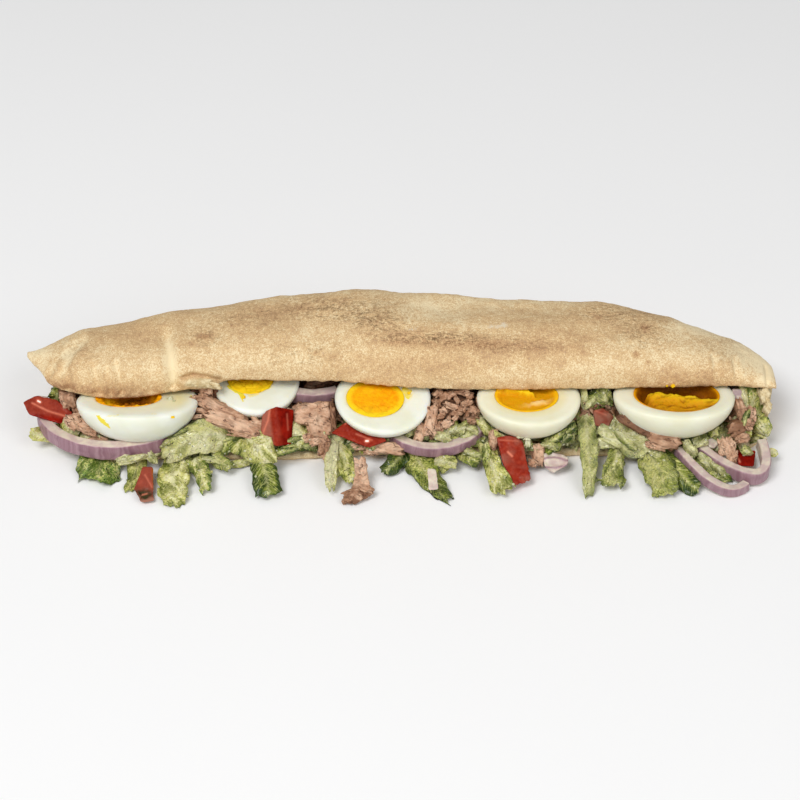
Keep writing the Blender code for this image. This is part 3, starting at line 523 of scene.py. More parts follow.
def baked(piece):
    """Turns a piece's modifiers into plain mesh."""
    bpy.context.view_layer.update()
    graph = bpy.context.evaluated_depsgraph_get()
    mesh = bpy.data.meshes.new_from_object(piece.evaluated_get(graph))
    piece.modifiers.clear()
    old = piece.data
    piece.data = mesh
    bpy.data.meshes.remove(old)
    return piece


def serve(piece, slot, *nodes):
    """Says what a finished piece rides on and stands for; its slot is not used."""
    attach(piece, "root")
    if nodes:
        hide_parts(*nodes)
    return piece


def bands(rings, count, first=0):
    """Four-cornered faces between rings of equal counts."""
    faces = []
    for i in range(rings - 1):
        for k in range(count):
            a, b = first + i * count + k, first + i * count + (k + 1) % count
            faces.append((a, b, b + count, a + count))
    return faces


def tube_faces(rings, count):
    """Faces of a closed tube of rings, its two ends capped."""
    last = (rings - 1) * count
    return bands(rings, count) + [tuple(range(count)), tuple(range(last, last + count))]


# ---------------------------------------------------------------- bread
LIP = (  # x, y and z of the upper lip's lower edge
    (-171.5, 20.5, 32.2), (-166.6, 14, 31.5), (-159.4, 3.5, 29.8), (-147.2, -2, 30),
    (-133, -3.5, 28.6),
    (-115, -2.7, 29.1), (-97, 0, 31), (-86, 0.3, 31.1), (-79, 3.4, 33.4), (-50, 3.3, 33.3),
    (-27, 3.1, 33.1), (0, 1, 31.7), (36, 0, 31), (93, 0.4, 31.3), (148, 1.2, 31.8),
    (170.5, 0.5, 31),
)
CROWN = (  # x, y and z of the highest line, and y of the uncut back
    (-171.5, 22, 33.8, 25.5), (-166, 19.5, 35.4, 29.5), (-155, 15, 39, 39), (-144, 13, 42, 45),
    (-128, 14, 44, 48.4), (-106, 18, 46, 52.6), (-84, 21, 47.5, 57.8), (-62, 23, 49, 61),
    (-40, 25, 50, 63.7), (-18, 27, 51, 66), (3, 26, 51, 63.3), (36, 24, 50, 61.9),
    (69, 23, 49.5, 59.5), (91, 21, 49, 58), (112, 18, 47, 54), (134, 14, 43, 47.8),
    (150, 10, 39.5, 41.5), (161, 8, 36, 36.5), (167, 6.5, 33.8, 31), (170.5, 6, 32, 25),
)
FRONT = (  # x and y of the lower half's front edge
    (-171.5, 16), (-163, 3), (-152, -9), (-135, -14), (-100, -15), (-46, -15), (-22, -12.8),
    (14, -12), (110, -12.7), (148, -12), (162, -7), (170.5, 3),
)
LOAF_LEFT, LOAF_RIGHT = -171.5, 170.5
LOAF_SECTIONS = 400
HINGE_SHARE = 0.42
TOP_CRUST, FLOOR_CRUST, BACK_CRUST, FRONT_CRUST = 6.0, 6.0, 7.0, 4.0
LIP_THICK = 5.5
TIP_REACH, TIP_BELOW, TIP_ALONG = 13.0, 18.0, 55.0  # how the left tip draws in under its lip
LIP_UP = 33.0
END_WALL = 20.0
FOOT, INNER_FOOT, NOSE = 14.0, 7.0, 3.0  # radii of the section's lower corners and front edge


def between(table, x, column):
    """A smooth curve through one column of a section table, read at x."""
    last = len(table) - 2
    i = 0
    while i < last and x > table[i + 1][0]:
        i += 1

    def slope(k):
        before, after = table[max(k - 1, 0)], table[min(k + 1, last + 1)]
        return (after[column] - before[column]) / (after[0] - before[0])

    span = table[i + 1][0] - table[i][0]
    t = min(max((x - table[i][0]) / span, 0.0), 1.0)
    start, end = table[i][column], table[i + 1][column]
    return (
        start * (2 * t**3 - 3 * t**2 + 1)
        + end * (3 * t**2 - 2 * t**3)
        + slope(i) * span * (t**3 - 2 * t**2 + t)
        + slope(i + 1) * span * (t**3 - t**2)
    )


def quarter(centre, radii, start, end, steps, power):
    """Points of a squarish arc in a section, angles in degrees from +Y towards +Z."""
    points = []
    for k in range(steps):
        angle = math.radians(start + (end - start) * k / (steps - 1))
        c, s = math.cos(angle), math.sin(angle)
        y = centre[0] + radii[0] * math.copysign(abs(c) ** (2 / power), c)
        points.append((y, centre[1] + radii[1] * math.copysign(abs(s) ** (2 / power), s)))
    return points


def lip_thickness(x):
    return min(LIP_THICK, (between(CROWN, x, 3) - between(LIP, x, 1)) / 3)


def pocket(x):
    """The pocket's mouth, back and roof at x: y of the mouth and back, y and z of the roof."""
    near_end = min((x - LOAF_LEFT) / END_WALL, (LOAF_RIGHT - x) / END_WALL)
    mouth = between(LIP, x, 1) + lip_thickness(x)
    full_back = between(CROWN, x, 3) - BACK_CRUST
    shut_back = mouth + lip_thickness(x) / 3
    back = shut_back + (full_back - shut_back) * float(ease(near_end))
    lip_z = between(LIP, x, 2)
    roof_z = min(between(CROWN, x, 2) - TOP_CRUST, lip_z + 0.45 * (back - mouth))
    return mouth, back, mouth + 0.48 * (back - mouth), max(roof_z, lip_z + 0.6)


def crown_relief(x, y):
    """The blister over the middle, the hollow behind it and slow swells of the crust."""
    ridge = 1.5 * math.exp(-(((x + 12) / 26) ** 2) - ((y - 42) / 12) ** 2)
    blister = 1.8 * math.exp(-(((x - 14) / 16) ** 2) - ((y - 20) / 9) ** 2)
    hollow = 4.2 * math.exp(-(((x - 42) / 34) ** 2) - ((y - 40) / 11) ** 2)
    swell = 0.5 * math.sin(x / 11 + y / 9) + 0.4 * math.sin(x / 6.3 - y / 7)
    return ridge + blister - hollow + swell


def loaf_section(x):
    """The bread's outline across the loaf at x, with how far each point is crumb, not crust."""
    lip_y, lip_z = between(LIP, x, 1), between(LIP, x, 2)
    crown_y, crown_z = between(CROWN, x, 1), between(CROWN, x, 2)
    back, front = between(CROWN, x, 3), between(FRONT, x, 1)
    hinge_z = HINGE_SHARE * crown_z
    mouth, inner_back, roof_y, roof_z = pocket(x)
    floor = min(FLOOR_CRUST, hinge_z - 3)
    edge = min(FRONT_CRUST, floor - 0.5)
    foot = min(FOOT, (back - front) / 2.5)
    inner_foot = min(INNER_FOOT, (inner_back - front) / 3)
    inner_hinge = min(hinge_z, roof_z - 1.5)

    over = quarter((crown_y, lip_z), (crown_y - lip_y, crown_z - lip_z), 180, 90, 48, 2.3)
    over += quarter((crown_y, hinge_z), (back - crown_y, crown_z - hinge_z), 90, 0, 40, 2.6)[1:]
    over = [(y, z + crown_relief(x, y) * float(ease((z - lip_z) / 9))) for y, z in over]
    under = quarter((back - foot, hinge_z), (foot, hinge_z), 0, -90, 12, 2.2)[1:]
    step = (back - foot - front - NOSE) / 13
    under += [(back - foot - step * k, 0.0) for k in range(1, 13)]
    nose_low = quarter((front + NOSE, edge / 2), (NOSE, edge / 2), -90, -270, 11, 2.0)
    deck = [front + NOSE + (inner_back - inner_foot - front - NOSE) * k / 14 for k in range(1, 14)]
    deck = [(y, edge + (floor - edge) * float(ease((y - front - NOSE) / 14))) for y in deck]
    inner = (inner_back - inner_foot, inner_hinge)
    deck += quarter(inner, (inner_foot, inner_hinge - floor), -90, 0, 8, 2.2)
    roof = quarter((roof_y, inner_hinge), (inner_back - roof_y, roof_z - inner_hinge), 0, 90, 12, 2.6)
    roof = roof[1:]
    roof += quarter((roof_y, lip_z), (roof_y - mouth, roof_z - lip_z), 90, 180, 16, 2.3)[1:]
    thick = mouth - lip_y
    nose = quarter((mouth - thick / 2, lip_z), (thick / 2, 2.0), 0, -180, 10, 2.0)[1:-1]
    crumb = [0.0] * (len(over) + len(under)) + list(np.linspace(0.0, 1.0, len(nose_low)))
    crumb += [1.0] * (len(deck) + len(roof)) + list(np.linspace(1.0, 0.15, len(nose)))
    outside = [1.0] * len(over) + [0.0] * (len(crumb) - len(over))
    return over + under + nose_low + deck + roof + nose, crumb, outside


# Marks on the crust, each a column and a row of the photograph, its half width and half
# height in pixels, and how strong it is.
BROWN = (
    (142, 332, 26, 13, 0.36), (102, 338, 20, 10, 0.22), (60, 348, 22, 9, 0.2),
    (210, 320, 40, 12, 0.15), (203, 338, 14, 8, 0.3), (270, 312, 46, 12, 0.2),
    (325, 304, 40, 10, 0.08), (350, 362, 36, 14, 0.14), (300, 326, 50, 10, 0.22),
    (650, 375, 55, 9, 0.15),
    (378, 318, 22, 9, 0.3), (400, 334, 38, 8, 0.4), (450, 340, 46, 9, 0.35),
    (505, 346, 42, 10, 0.28), (560, 340, 50, 14, 0.2), (600, 318, 60, 12, 0.2),
    (645, 330, 48, 12, 0.2), (520, 318, 40, 8, 0.12), (430, 366, 70, 12, 0.35), (690, 376, 50, 8, 0.25),
    (90, 385, 60, 7, 0.32), (60, 365, 12, 14, 0.15), (636, 355, 3, 3, 1.2), (648, 362, 3, 2, 0.8),
    (203, 336, 8, 3, 0.7), (190, 343, 4, 2, 0.6), (332, 356, 3, 2, 0.7), (645, 328, 5, 2.5, 0.8),
    (632, 312, 40, 5, 0.3), (345, 300, 20, 4, 0.3), (300, 309, 30, 4, 0.3), (255, 318, 30, 5, 0.25),
    (400, 343, 30, 4, 0.4), (480, 345, 60, 5, 0.35), (560, 350, 40, 5, 0.2), (700, 345, 20, 6, 0.15),
    (316, 353, 3, 3, 0.6), (598, 318, 4, 2, 0.5), (560, 360, 60, 8, 0.15),
)
PALE = (
    (170, 350, 7, 16, 0.45), (171, 372, 6, 16, 0.4), (700, 330, 60, 8, 0.1),
    (768, 368, 12, 24, 0.9), (690, 329, 30, 8, 0.2), (728, 326, 44, 10, 0.7),
    (660, 308, 40, 6, 0.3), (40, 352, 24, 12, 0.35),
    (80, 340, 14, 8, 0.2), (690, 352, 40, 12, 0.15),
    (450, 300, 50, 7, 0.25), (530, 302, 50, 6, 0.2), (250, 365, 90, 12, 0.12),
    (66, 352, 5, 12, 0.5), (540, 375, 60, 9, 0.1), (745, 355, 20, 25, 0.35), (430, 310, 30, 10, 0.25),
    (285, 360, 60, 10, 0.15), (600, 365, 30, 6, 0.15), (45, 352, 20, 5, 0.3),
)
FLOUR = ((494, 327, 11, 2.5, 0.5), (504, 325, 4, 2.5, 0.65), (412, 329, 9, 2, 0.45), (458, 331, 10, 3, 0.2))
# Creases: a line of columns and rows, its half width in millimetres, its depth, and how
# pale the baking left it; a value below 0 darkens the groove instead, as painted shade.
CREASES = (
    (((167, 337), (169, 352), (173, 372), (174, 387)), 2.6, 1.5, 0.5),
    (((84, 340), (69, 357), (60, 376)), 1.6, 0.9, 0.5),
    (((74, 345), (56, 362), (50, 374)), 1.2, 0.6, 0.3),
    (((68, 372), (69, 392)), 1.5, 1.0, 0.1),
    (((93, 366), (100, 394)), 1.4, 0.9, 0.35),
    (((107, 368), (111, 394)), 1.0, 0.6, 0.3),
    (((116, 364), (122, 392)), 1.2, 0.8, 0.3),
    (((135, 372), (137, 392)), 1.2, 0.5, 0.15),
    (((148, 374), (150, 391)), 1.2, 0.5, 0.15),
    (((714, 357), (718, 374)), 1.2, 0.5, 0.4),
    (((735, 362), (740, 386)), 1.2, 0.8, 0.3),
    (((766, 366), (769, 388)), 1.0, 0.7, 0.2),
    # the crack above the torn flap, its groove darkened as painted shade
    (((183, 378), (192, 375), (205, 377), (220, 381)), 1.1, 1.3, -0.5),
)
TORN = ((192, 382, 7, 3.5, 0.9), (202, 383, 8, 4, 1.0), (213, 385, 7, 3, 0.8))
# Wrinkles on the crust, placed like the marks above; the finish darkens their grooves as painted shade.
WRINKLES = (
    (438, 338, 44, 6, 0.9), (640, 333, 28, 16, 0.5), (80, 350, 22, 10, 0.35), (330, 308, 60, 12, 0.6),
    (378, 322, 26, 14, 0.6), (620, 312, 60, 10, 0.5), (205, 337, 18, 8, 0.6), (300, 355, 50, 14, 0.3),
    (520, 345, 50, 8, 0.4), (720, 345, 30, 20, 0.3), (240, 318, 40, 10, 0.35),
)


def spots(seen, table):
    """How strongly the marks of a table show at points seen at these columns and rows."""
    total = np.zeros(len(seen[0]))
    for column, row, half_wide, half_high, strength in table:
        far = ((seen[0] - column) / half_wide) ** 2 + ((seen[1] - row) / half_high) ** 2
        total += strength * np.exp(-far)
    return total


def from_line(seen, line):
    """Distance of each point from a line of columns and rows, in millimetres."""
    least = np.full(len(seen[0]), 1e9)
    for (ax, ay), (bx, by) in zip(line, line[1:]):
        dx, dy = bx - ax, by - ay
        t = np.clip(((seen[0] - ax) * dx + (seen[1] - ay) * dy) / (dx * dx + dy * dy), 0, 1)
        least = np.minimum(least, np.hypot(seen[0] - ax - t * dx, seen[1] - ay - t * dy))
    return least * PIXEL


def loaf_grid():
    """The bread's points, section by section, how much each is crumb, and which are on top."""
    points, crumb, outside = [], [], []
    for k in range(LOAF_SECTIONS):
        turn = math.pi * (k / (LOAF_SECTIONS - 1) - 0.5)
        share = 0.5 + 0.5 * (0.25 * math.sin(turn) + 0.75 * turn * 2 / math.pi)
        x = LOAF_LEFT + (LOAF_RIGHT - LOAF_LEFT) * share
        pulled = float(ease((LOAF_LEFT + TIP_ALONG - x) / TIP_ALONG))
        section, inner, outer = loaf_section(x)
        for y, z in section:
            tip = TIP_REACH * pulled * (1 - float(ease((z - TIP_BELOW) / (LIP_UP - TIP_BELOW))))
            points.append((x + tip, y, z))
        crumb += inner
        outside += outer
    return np.array(points), np.array(crumb), np.array(outside)


def make_bread():
    points, crumb, outside = loaf_grid()
    faces = tube_faces(LOAF_SECTIONS, len(points) // LOAF_SECTIONS)
    piece = shape("bread_crust", points, faces, CRUST, {})
    normals = normals_of(piece)
    along = points[:, 0]
    seen = as_seen(points)
    outside = outside * ease((normals @ FACING + 0.1) / 0.3)
    brown = spots(seen, BROWN) * outside
    pale = spots(seen, PALE) * outside
    swell = 0.45 * rough(points, 11, 1) + 0.28 * rough(points, 4.2, 2) + 0.14 * rough(points, 2.0, 3)
    torn = 0.8 * rough(points, 3.4, 4) + 0.5 * rough(points, 1.7, 5)
    edge = np.exp(-(((points[:, 2] - 31.0) / 1.8) ** 2)) * (points[:, 1] < 8)
    bitty = rough(points, 3.0, 11) + rough(points, 1.5, 12)
    lift = swell * (1 - crumb) + torn * crumb * 0.8 + 0.45 * edge * bitty
    for line, half, depth, paler in CREASES:
        near = from_line(seen, line)
        groove = np.exp(-((near / half) ** 2))
        shoulder = np.exp(-(((near - 2 * half) / half) ** 2))
        lift += outside * (0.45 * depth * shoulder - 1.5 * depth * groove)
        # where paler is below 0 this darkens the groove as painted shade
        pale += outside * paler * groove * 0.8
        brown += outside * max(paler, 0) * shoulder * 0.2
    rim = np.exp(-(((points[:, 2] - 31.5) / 2.2) ** 2)) * outside * (points[:, 1] < 6)
    brown += rim * (0.15 + (0.65 + 0.5 * rough(points, 5, 8)) * ease((-118 - along) / 22))
    bitten = spots(seen, TORN) * outside
    lift += bitten * (0.5 + 0.7 * rough(points, 2.6, 9) + 0.4 * rough(points, 1.3, 9))
    crumb = np.maximum(crumb, np.clip(bitten * 1.3, 0, 1))
    brown += (0.25 + 0.3 * rough(points, 24, 13)) * (1 - outside) * (1 - crumb)
    end = np.minimum(along - LOAF_LEFT, LOAF_RIGHT - along)
    lift *= ease(end / 3)
    flat = (1 - outside) * (1 - crumb) * (points[:, 2] < 0.5) > 0.5
    lift = np.where(flat, 0.6 * np.minimum(np.abs(lift), 0.3), lift)
    moved = points + normals * lift[:, None]
    moved[:, 2] = np.maximum(moved[:, 2], 0.0)
    move_to(piece, moved)
    flour, wrinkle = spots(seen, FLOUR) * outside, spots(seen, WRINKLES) * outside
    brown = brown + 0.12 + 0.1 * rough(points, 30, 6)
    set_marks(piece, crumb=crumb, brown=brown, pale=pale, flour=flour, wrinkle=wrinkle)
    serve(piece, "bread", "bread")


make_bread()


# ---------------------------------------------------------------- eggs
# Each egg half: the middle of its cut face, its half length, half width and depth, how it
# leans and turns in degrees, and its yolk's half sizes and middle on the cut face.
Egg = namedtuple("Egg", "middle long wide deep lean turn yolk yolk_at")
EGGS = [Egg(*row) for row in (
    ((-119.0, -3.0, 27.6), 27.7, 20.5, 20.5, -15, 0, (15, 10), (-4.0, 0.5)),
    ((-66.0, 10.7, 27.0), 20.0, 19.7, 15.0, 10, 0, (11.0, 10.2), (-2.5, 2.0)),
    ((-7.9, 0.0, 25.9), 22.0, 20.0, 15.0, 15, -4, (13.2, 10.4), (-3.3, -1.0)),
    ((58.4, -1.4, 27.6), 23.7, 20.0, 19.0, 0, 0, (14.5, 11.4), (-1.0, 0.2)),
    ((124.2, -1.2, 28.8), 27.7, 20.7, 20.5, -8, 0, (19.5, 14.6), (1.0, -1.0)),
)]
EGG_BLUNT = 0.05
# Cream on each cut face, egg by egg: partly the face's own cream colour, partly painted shade under the
# bread's lip.
FACE_CREAM_AND_SHADE = (0.35, 0.0, 0.12, 0.6, 0.45)  # how creamy each cut face is, egg by egg
SIDE_CREAM = (0.0, 0.0, 0.0, 0.28, 0.22)  # and the rest of each white
EGG_SIDES = 120
FACE_RINGS, DOME_RINGS, YOLK_RINGS = 16, 18, 30
YOLK_DEPTH, CUP_SHARE, CUP_AT = 0.8, 0.62, 0.78
RIM_START = 0.88
GAP = 0.2
CRACKED = (2, 3)  # the whites with fine cracks down from the cut face


def egg_place(egg):
    turn = Matrix.Rotation(math.radians(egg.lean), 4, "X") @ Matrix.Rotation(math.radians(egg.turn), 4, "Z")
    return Matrix.Translation(egg.middle) @ turn


def white_ring(egg, share, depth):
    """A ring of an egg half, as points on the egg's own cut face."""
    ring = []
    for k in range(EGG_SIDES):
        a = 2 * math.pi * k / EGG_SIDES
        across = egg.wide * share * math.sin(a) * (1 + EGG_BLUNT * math.cos(a))
        ring.append((egg.long * share * math.cos(a), across, -depth))
    return np.array(ring)


def yolk_ring(egg, share, depth, grow=0.0):
    """The same for its yolk, or for the hollow round the yolk."""
    ring = []
    for k in range(EGG_SIDES):
        a = 2 * math.pi * k / EGG_SIDES
        u = egg.yolk_at[0] + (egg.yolk[0] + grow) * share * math.cos(a)
        ring.append((u, egg.yolk_at[1] + (egg.yolk[1] + grow) * share * math.sin(a), -depth))
    return np.array(ring)


def domed(rings):
    """A solid of equal rings with a pole at each end: its points and faces."""
    count = len(rings[0])
    points = np.concatenate([[rings[0].mean(0)], *rings, [rings[-1].mean(0)]])
    last, pole = 1 + (len(rings) - 1) * count, len(points) - 1
    faces = [(0, 1 + (k + 1) % count, 1 + k) for k in range(count)] + bands(len(rings), count, 1)
    faces += [(last + k, last + (k + 1) % count, pole) for k in range(count)]
    return points, faces


def yolk_relief(number, u, v, reach):
    """Height of a yolk's broken face, its darker orange with painted shade, its brighter yellow with painted
    light, and its cream, at u and v.
    """
    at = np.stack([u, v, np.full(len(u), number * 9.0)], 1)
    crumbly = 0.45 * rough(at, 2.2, number) + 0.25 * rough(at, 1.0, number + 9)
    clear, own, _ = broken(at, 3.2, number)
    edge = ease((1 - reach) / 0.25)
    cream = np.zeros(len(u))
    if number == 1:
        # a bowl that the yolk has fallen out of, with painted light on its left side and painted shade that
        # deepens to the right
        bowl = ease((0.98 - reach + 0.12 * rough(at, 2.0, 2)) / 0.4)
        height = -4.5 * bowl + crumbly * 2.2 + 1.0 * own * bowl
        dark_and_shade = (0.25 + 0.75 * ease((u + 9) / 6)) * bowl
        bright_and_lit = 0.7 * ease((-u - 7) / 3) * bowl
    elif number == 2:
        # cracks near the rim are darkened as painted shade
        height = 0.5 * crumbly + edge * (0.5 * own - 0.35 * (1 - clear))
        bright_and_lit = 0.35 + 0.55 * ease((-v - 1) / 5)
        dark_and_shade = 0.12 * (1 - clear) * edge
    elif number == 3:
        # a smooth face with cracks in its lower part, darkened as painted shade
        height = 0.25 * crumbly * edge - 0.25 * edge * (1 - clear) * ease((-v - 1.0) / 3)
        bright_and_lit = 0.85 * ease((reach - 0.72) / 0.18) + 0.35 * ease((-v - 2.5) / 5)
        bright_and_lit += 0.3 * np.exp(-(((u + 4) / 5) ** 2) - ((v - 4) / 4) ** 2)
        dark_and_shade = 0.22 * (1 - clear) * ease((-v - 3) / 2) * edge
    elif number == 4:
        # a raised chunk at the upper left, a creamy flap at the lower right, and a dark pool
        chunk = ease((v - 1.6 + 0.25 * (u + 6) + 1.2 * rough(at, 1.8, 3)) / 0.6)
        chunk = chunk * ease((1.8 - u - 1.5 * rough(at, 2.2, 4) - 0.9 * (v - 3)) / 1.8)
        off_flap = (v - 0.25 * (u - 5) + 3.8 + 1.3 * rough(at, 2, 7)) / 1.4
        flap = np.exp(-(((u - 5) / 4.6) ** 2) - (off_flap**4))
        pool = ease((0.95 - reach) / 0.2)
        height = -1.6 * pool * (1 - chunk) + crumbly * (0.4 + 0.7 * chunk) + 0.9 * flap
        bright_and_lit = 0.3 + 0.6 * chunk + 0.2 * ease((reach - 0.85) / 0.1)
        height += 1.3 * chunk
        dark_and_shade = 0.36 * pool * (1 - chunk) * (1 - flap)
        cream = 0.6 * flap
    else:
        # a yellow mass with a sharp broken edge that runs down to the right, and a hollow behind
        grit = rough(at * (0.45, 1, 1), 1.7, 12) + 0.5 * rough(at, 0.9, 13)
        line = v - (0.2 - 0.22 * u) + 1.0 * rough(at, 2.6, 5) + 0.7 * own
        mass = ease((0.6 - line) / 0.9) * ease((u + 14.5 + 2.5 * rough(at, 3, 6)) / 3)
        front = ease((-line - 2.6) / 4.0)
        bowl = ease((0.97 - reach) / 0.22)
        height = -5.6 * bowl * (1 - mass) - 1.8 * mass * front * bowl
        height += bowl * mass * 0.9 * grit + crumbly * 0.3
        # a painted highlight along the broken edge
        bright_and_lit = mass * (0.45 + 0.55 * np.exp(-(((line + 1.2) / 1.6) ** 2)) - 0.2 * front)
        # painted shade in the hollow behind and, on the mass, in its grit and on its front slope; the rest is
        # a darker yolk colour
        dark_and_shade = (1 - mass) * 1.0 * ease((1 - reach) / 0.1)
        dark_and_shade += mass * (0.26 + 0.25 * front + 0.42 * ease(-grit / 0.5))
    return height, np.clip(dark_and_shade, 0, 1), np.clip(bright_and_lit, 0, 1), np.clip(cream, 0, 1)


# Smears of yolk on a white: the egg, its column and row, half sizes in pixels, strength.
SMEARS = (
    (1, 98, 416, 3, 1.5, 0.8), (1, 102, 420, 3.5, 2.2, 1.2), (1, 106, 424, 3, 2, 1.2),
    (1, 109, 427, 2.2, 1.5, 0.8), (1, 173, 418, 1.8, 1.8, 1.2), (1, 191, 396, 1.8, 1.5, 0.8),
    (1, 118, 415, 3, 0.8, 0.7), (3, 405, 390, 3.5, 4.5, 1.1), (3, 408, 396, 2.5, 4, 1.1),
    (3, 411, 391, 1.5, 2, 0.7), (2, 240, 390, 3.5, 5, 1.3), (2, 250, 388, 8, 3, 1.2),
    (2, 264, 387, 8, 3, 1.1), (2, 231, 387, 5, 2.5, 1.0), (2, 242, 396, 2, 4, 1.0),
    (2, 257, 391, 3.5, 3, 1.0), (2, 243, 401, 1.0, 1.6, 0.8), (2, 235, 390, 3, 3, 0.9),
    (4, 500, 440, 1.2, 1.2, 0.8), (5, 709, 419, 1.5, 2.5, 1.0), (5, 650, 402, 3, 1.5, 0.6),
)
FAINT = (
    (1, 112, 416, 14, 4, 0.7), (1, 152, 414, 12, 3, 0.7), (1, 188, 396, 8, 5, 0.7),
    (1, 145, 423, 8, 3, 0.6), (2, 250, 394, 14, 6, 0.9), (3, 407, 394, 9, 10, 1.1),
    (3, 352, 397, 5, 12, 0.8), (5, 640, 396, 8, 8, 0.8), (4, 500, 400, 8, 6, 0.7),
)


def yolk_reach(egg, points):
    """How far out of the yolk's middle points lie, 1 at its rim, and their u and v from there."""
    u, v = points[:, 0] - egg.yolk_at[0], points[:, 1] - egg.yolk_at[1]
    return np.hypot(u / egg.yolk[0], v / egg.yolk[1]), u, v


def placed_egg(egg, points):
    place = egg_place(egg)
    return np.array([place @ Vector(p) for p in points])


def make_white(number, egg):
    cup = egg.yolk[1] * YOLK_DEPTH
    rings = [yolk_ring(egg, 0.25, cup + GAP), yolk_ring(egg, CUP_SHARE, cup * CUP_AT, GAP)]
    inner, outer = yolk_ring(egg, 1.0, 0.0, GAP), white_ring(egg, RIM_START, 0.0)
    rings.append(yolk_ring(egg, 0.97, 0.9, GAP))
    rings += [inner + (outer - inner) * k / FACE_RINGS for k in range(FACE_RINGS + 1)]
    for angle in (15, 30, 45, 60, 75):
        a = math.radians(angle)
        rings.append(white_ring(egg, RIM_START + 0.117 * math.sin(a), 1.8 * (1 - math.cos(a))))
    for k in range(1, DOME_RINGS):
        depth = 0.085 + 0.913 * math.sin(math.pi / 2 * k / DOME_RINGS)
        rings.append(white_ring(egg, math.sqrt(1 - depth**2), egg.deep * depth))
    points, faces = domed(rings)
    face = np.abs(points[:, 2]) < 0.05
    wobble = 0.22 * rough(points, 9, number) + 0.07 * rough(points, 3, number)
    points[:, 2] += np.where(face, wobble, 0)
    if number in CRACKED:
        cracks = np.clip(rough(points * (1, 1, 0.12), 1.5, 20 + number), 0, 1)
        cracks = 0.012 * cracks * ease((points[:, 2] + 9) / 5) * ease(-points[:, 2] / 3)
        points[:, :2] *= (1 - cracks)[:, None]
    world = placed_egg(egg, points)
    reach, _, _ = yolk_reach(egg, points)
    stain_and_shade = 0.5 * np.exp(-(((reach - 1.0) / 0.1) ** 2)) * face
    rim = np.hypot(points[:, 0] / egg.long, points[:, 1] / egg.wide)
    seen = as_seen(world)
    cream = FACE_CREAM_AND_SHADE[number - 1] * face * ease((0.95 - rim) / 0.35)
    if number == 1:
        # painted shade over egg 1's right end, where it turns away under the bread's lip
        cream += 0.4 * ease((seen[0] - 162) / 20) * ease((1.05 - rim) / 0.3) * (points[:, 2] > -4)
    stain_and_shade = np.maximum(stain_and_shade, np.maximum(cream, SIDE_CREAM[number - 1]))
    smear, faint = (spots(seen, [s[1:] for s in table if s[0] == number]) for table in (SMEARS, FAINT))
    marks = {"stain_and_shade": stain_and_shade, "smear": smear, "faint": faint}
    serve(shape(f"egg_white_{number}", world, faces, WHITE, marks), "egg_white", f"egg_{number}_white")


def make_yolk(number, egg):
    cup = egg.yolk[1] * YOLK_DEPTH
    rings = [yolk_ring(egg, k / YOLK_RINGS, 0.0) for k in range(1, YOLK_RINGS + 1)]
    rings += [yolk_ring(egg, 0.9, cup * 0.4), yolk_ring(egg, CUP_SHARE, cup * CUP_AT - GAP)]
    rings.append(yolk_ring(egg, 0.2, cup - GAP))
    points, faces = domed(rings)
    reach, u, v = yolk_reach(egg, points)
    height, dark_and_shade, bright_and_lit, cream = yolk_relief(number, u, v, reach)
    on_face = np.arange(len(points)) < YOLK_RINGS * EGG_SIDES + 1
    points[:, 2] += np.where(on_face, np.maximum(height, -cup * 0.7), 0)
    marks = {"dark_and_shade": dark_and_shade, "bright_and_lit": bright_and_lit, "cream": cream}
    yolk = shape(f"egg_yolk_{number}", placed_egg(egg, points), faces, YOLK, marks)
    serve(yolk, "egg_yolk", f"egg_{number}_yolk")


for number, egg in enumerate(EGGS, 1):
    make_white(number, egg)
    make_yolk(number, egg)


# ---------------------------------------------------------------- onion rings
class Recipe:
    """A geometry tree with named inputs, its first one the piece's own mesh. Each step is a
    node that gives one output."""

    def __init__(self, name, **inputs):
        self.tree = bpy.data.node_groups.new(name, "GeometryNodeTree")
        sockets = self.tree.interface
        for key, kind in {"Geometry": "Geometry", **inputs}.items():
            sockets.new_socket(key, in_out="INPUT", socket_type="NodeSocket" + kind)
        sockets.new_socket("Geometry", in_out="OUTPUT", socket_type="NodeSocketGeometry")
        self.given = self.tree.nodes.new("NodeGroupInput")
        self.made = self.tree.nodes.new("NodeGroupOutput")

    def __getitem__(self, key):
        return self.given.outputs[key]

    def step(self, kind, settings=None, values=None, out=0):
        return new_node(self.tree, kind, settings, values).outputs[out]

    def even(self, curve, length):
        """A curve with a point at every so many millimetres."""
        values = {0: curve, "Length": length * MM}
        return self.step("GeometryNodeResampleCurve", {"mode": "LENGTH"}, values)

    def store(self, geometry, name, value, domain="POINT"):
        settings = {"data_type": "FLOAT", "domain": domain}
        values = {"Geometry": geometry, "Name": name, "Value": value}
        return self.step("GeometryNodeStoreNamedAttribute", settings, values)

    def times(self, first, second):
        return self.step("ShaderNodeMath", {"operation": "MULTIPLY"}, {0: first, 1: second})

    def served(self, geometry):
        """Ends the tree: real mesh, in the finish that is given."""
        geometry = self.step("GeometryNodeRealizeInstances", {}, {"Geometry": geometry})
        values = {"Geometry": geometry, "Material": self["Finish"]}
        geometry = self.step("GeometryNodeSetMaterial", {}, values)
        self.tree.links.new(geometry, self.made.inputs[0])
        return self.tree


def grown_by(piece, tree, **values):
    """Runs a geometry tree on a piece and turns the result into plain mesh."""
    modifier = piece.modifiers.new(tree.name, "NODES")
    modifier.node_group = tree
    for item in tree.interface.items_tree:
        if item.in_out == "INPUT" and item.name in values:
            modifier[item.identifier] = values[item.name]
    return baked(piece)


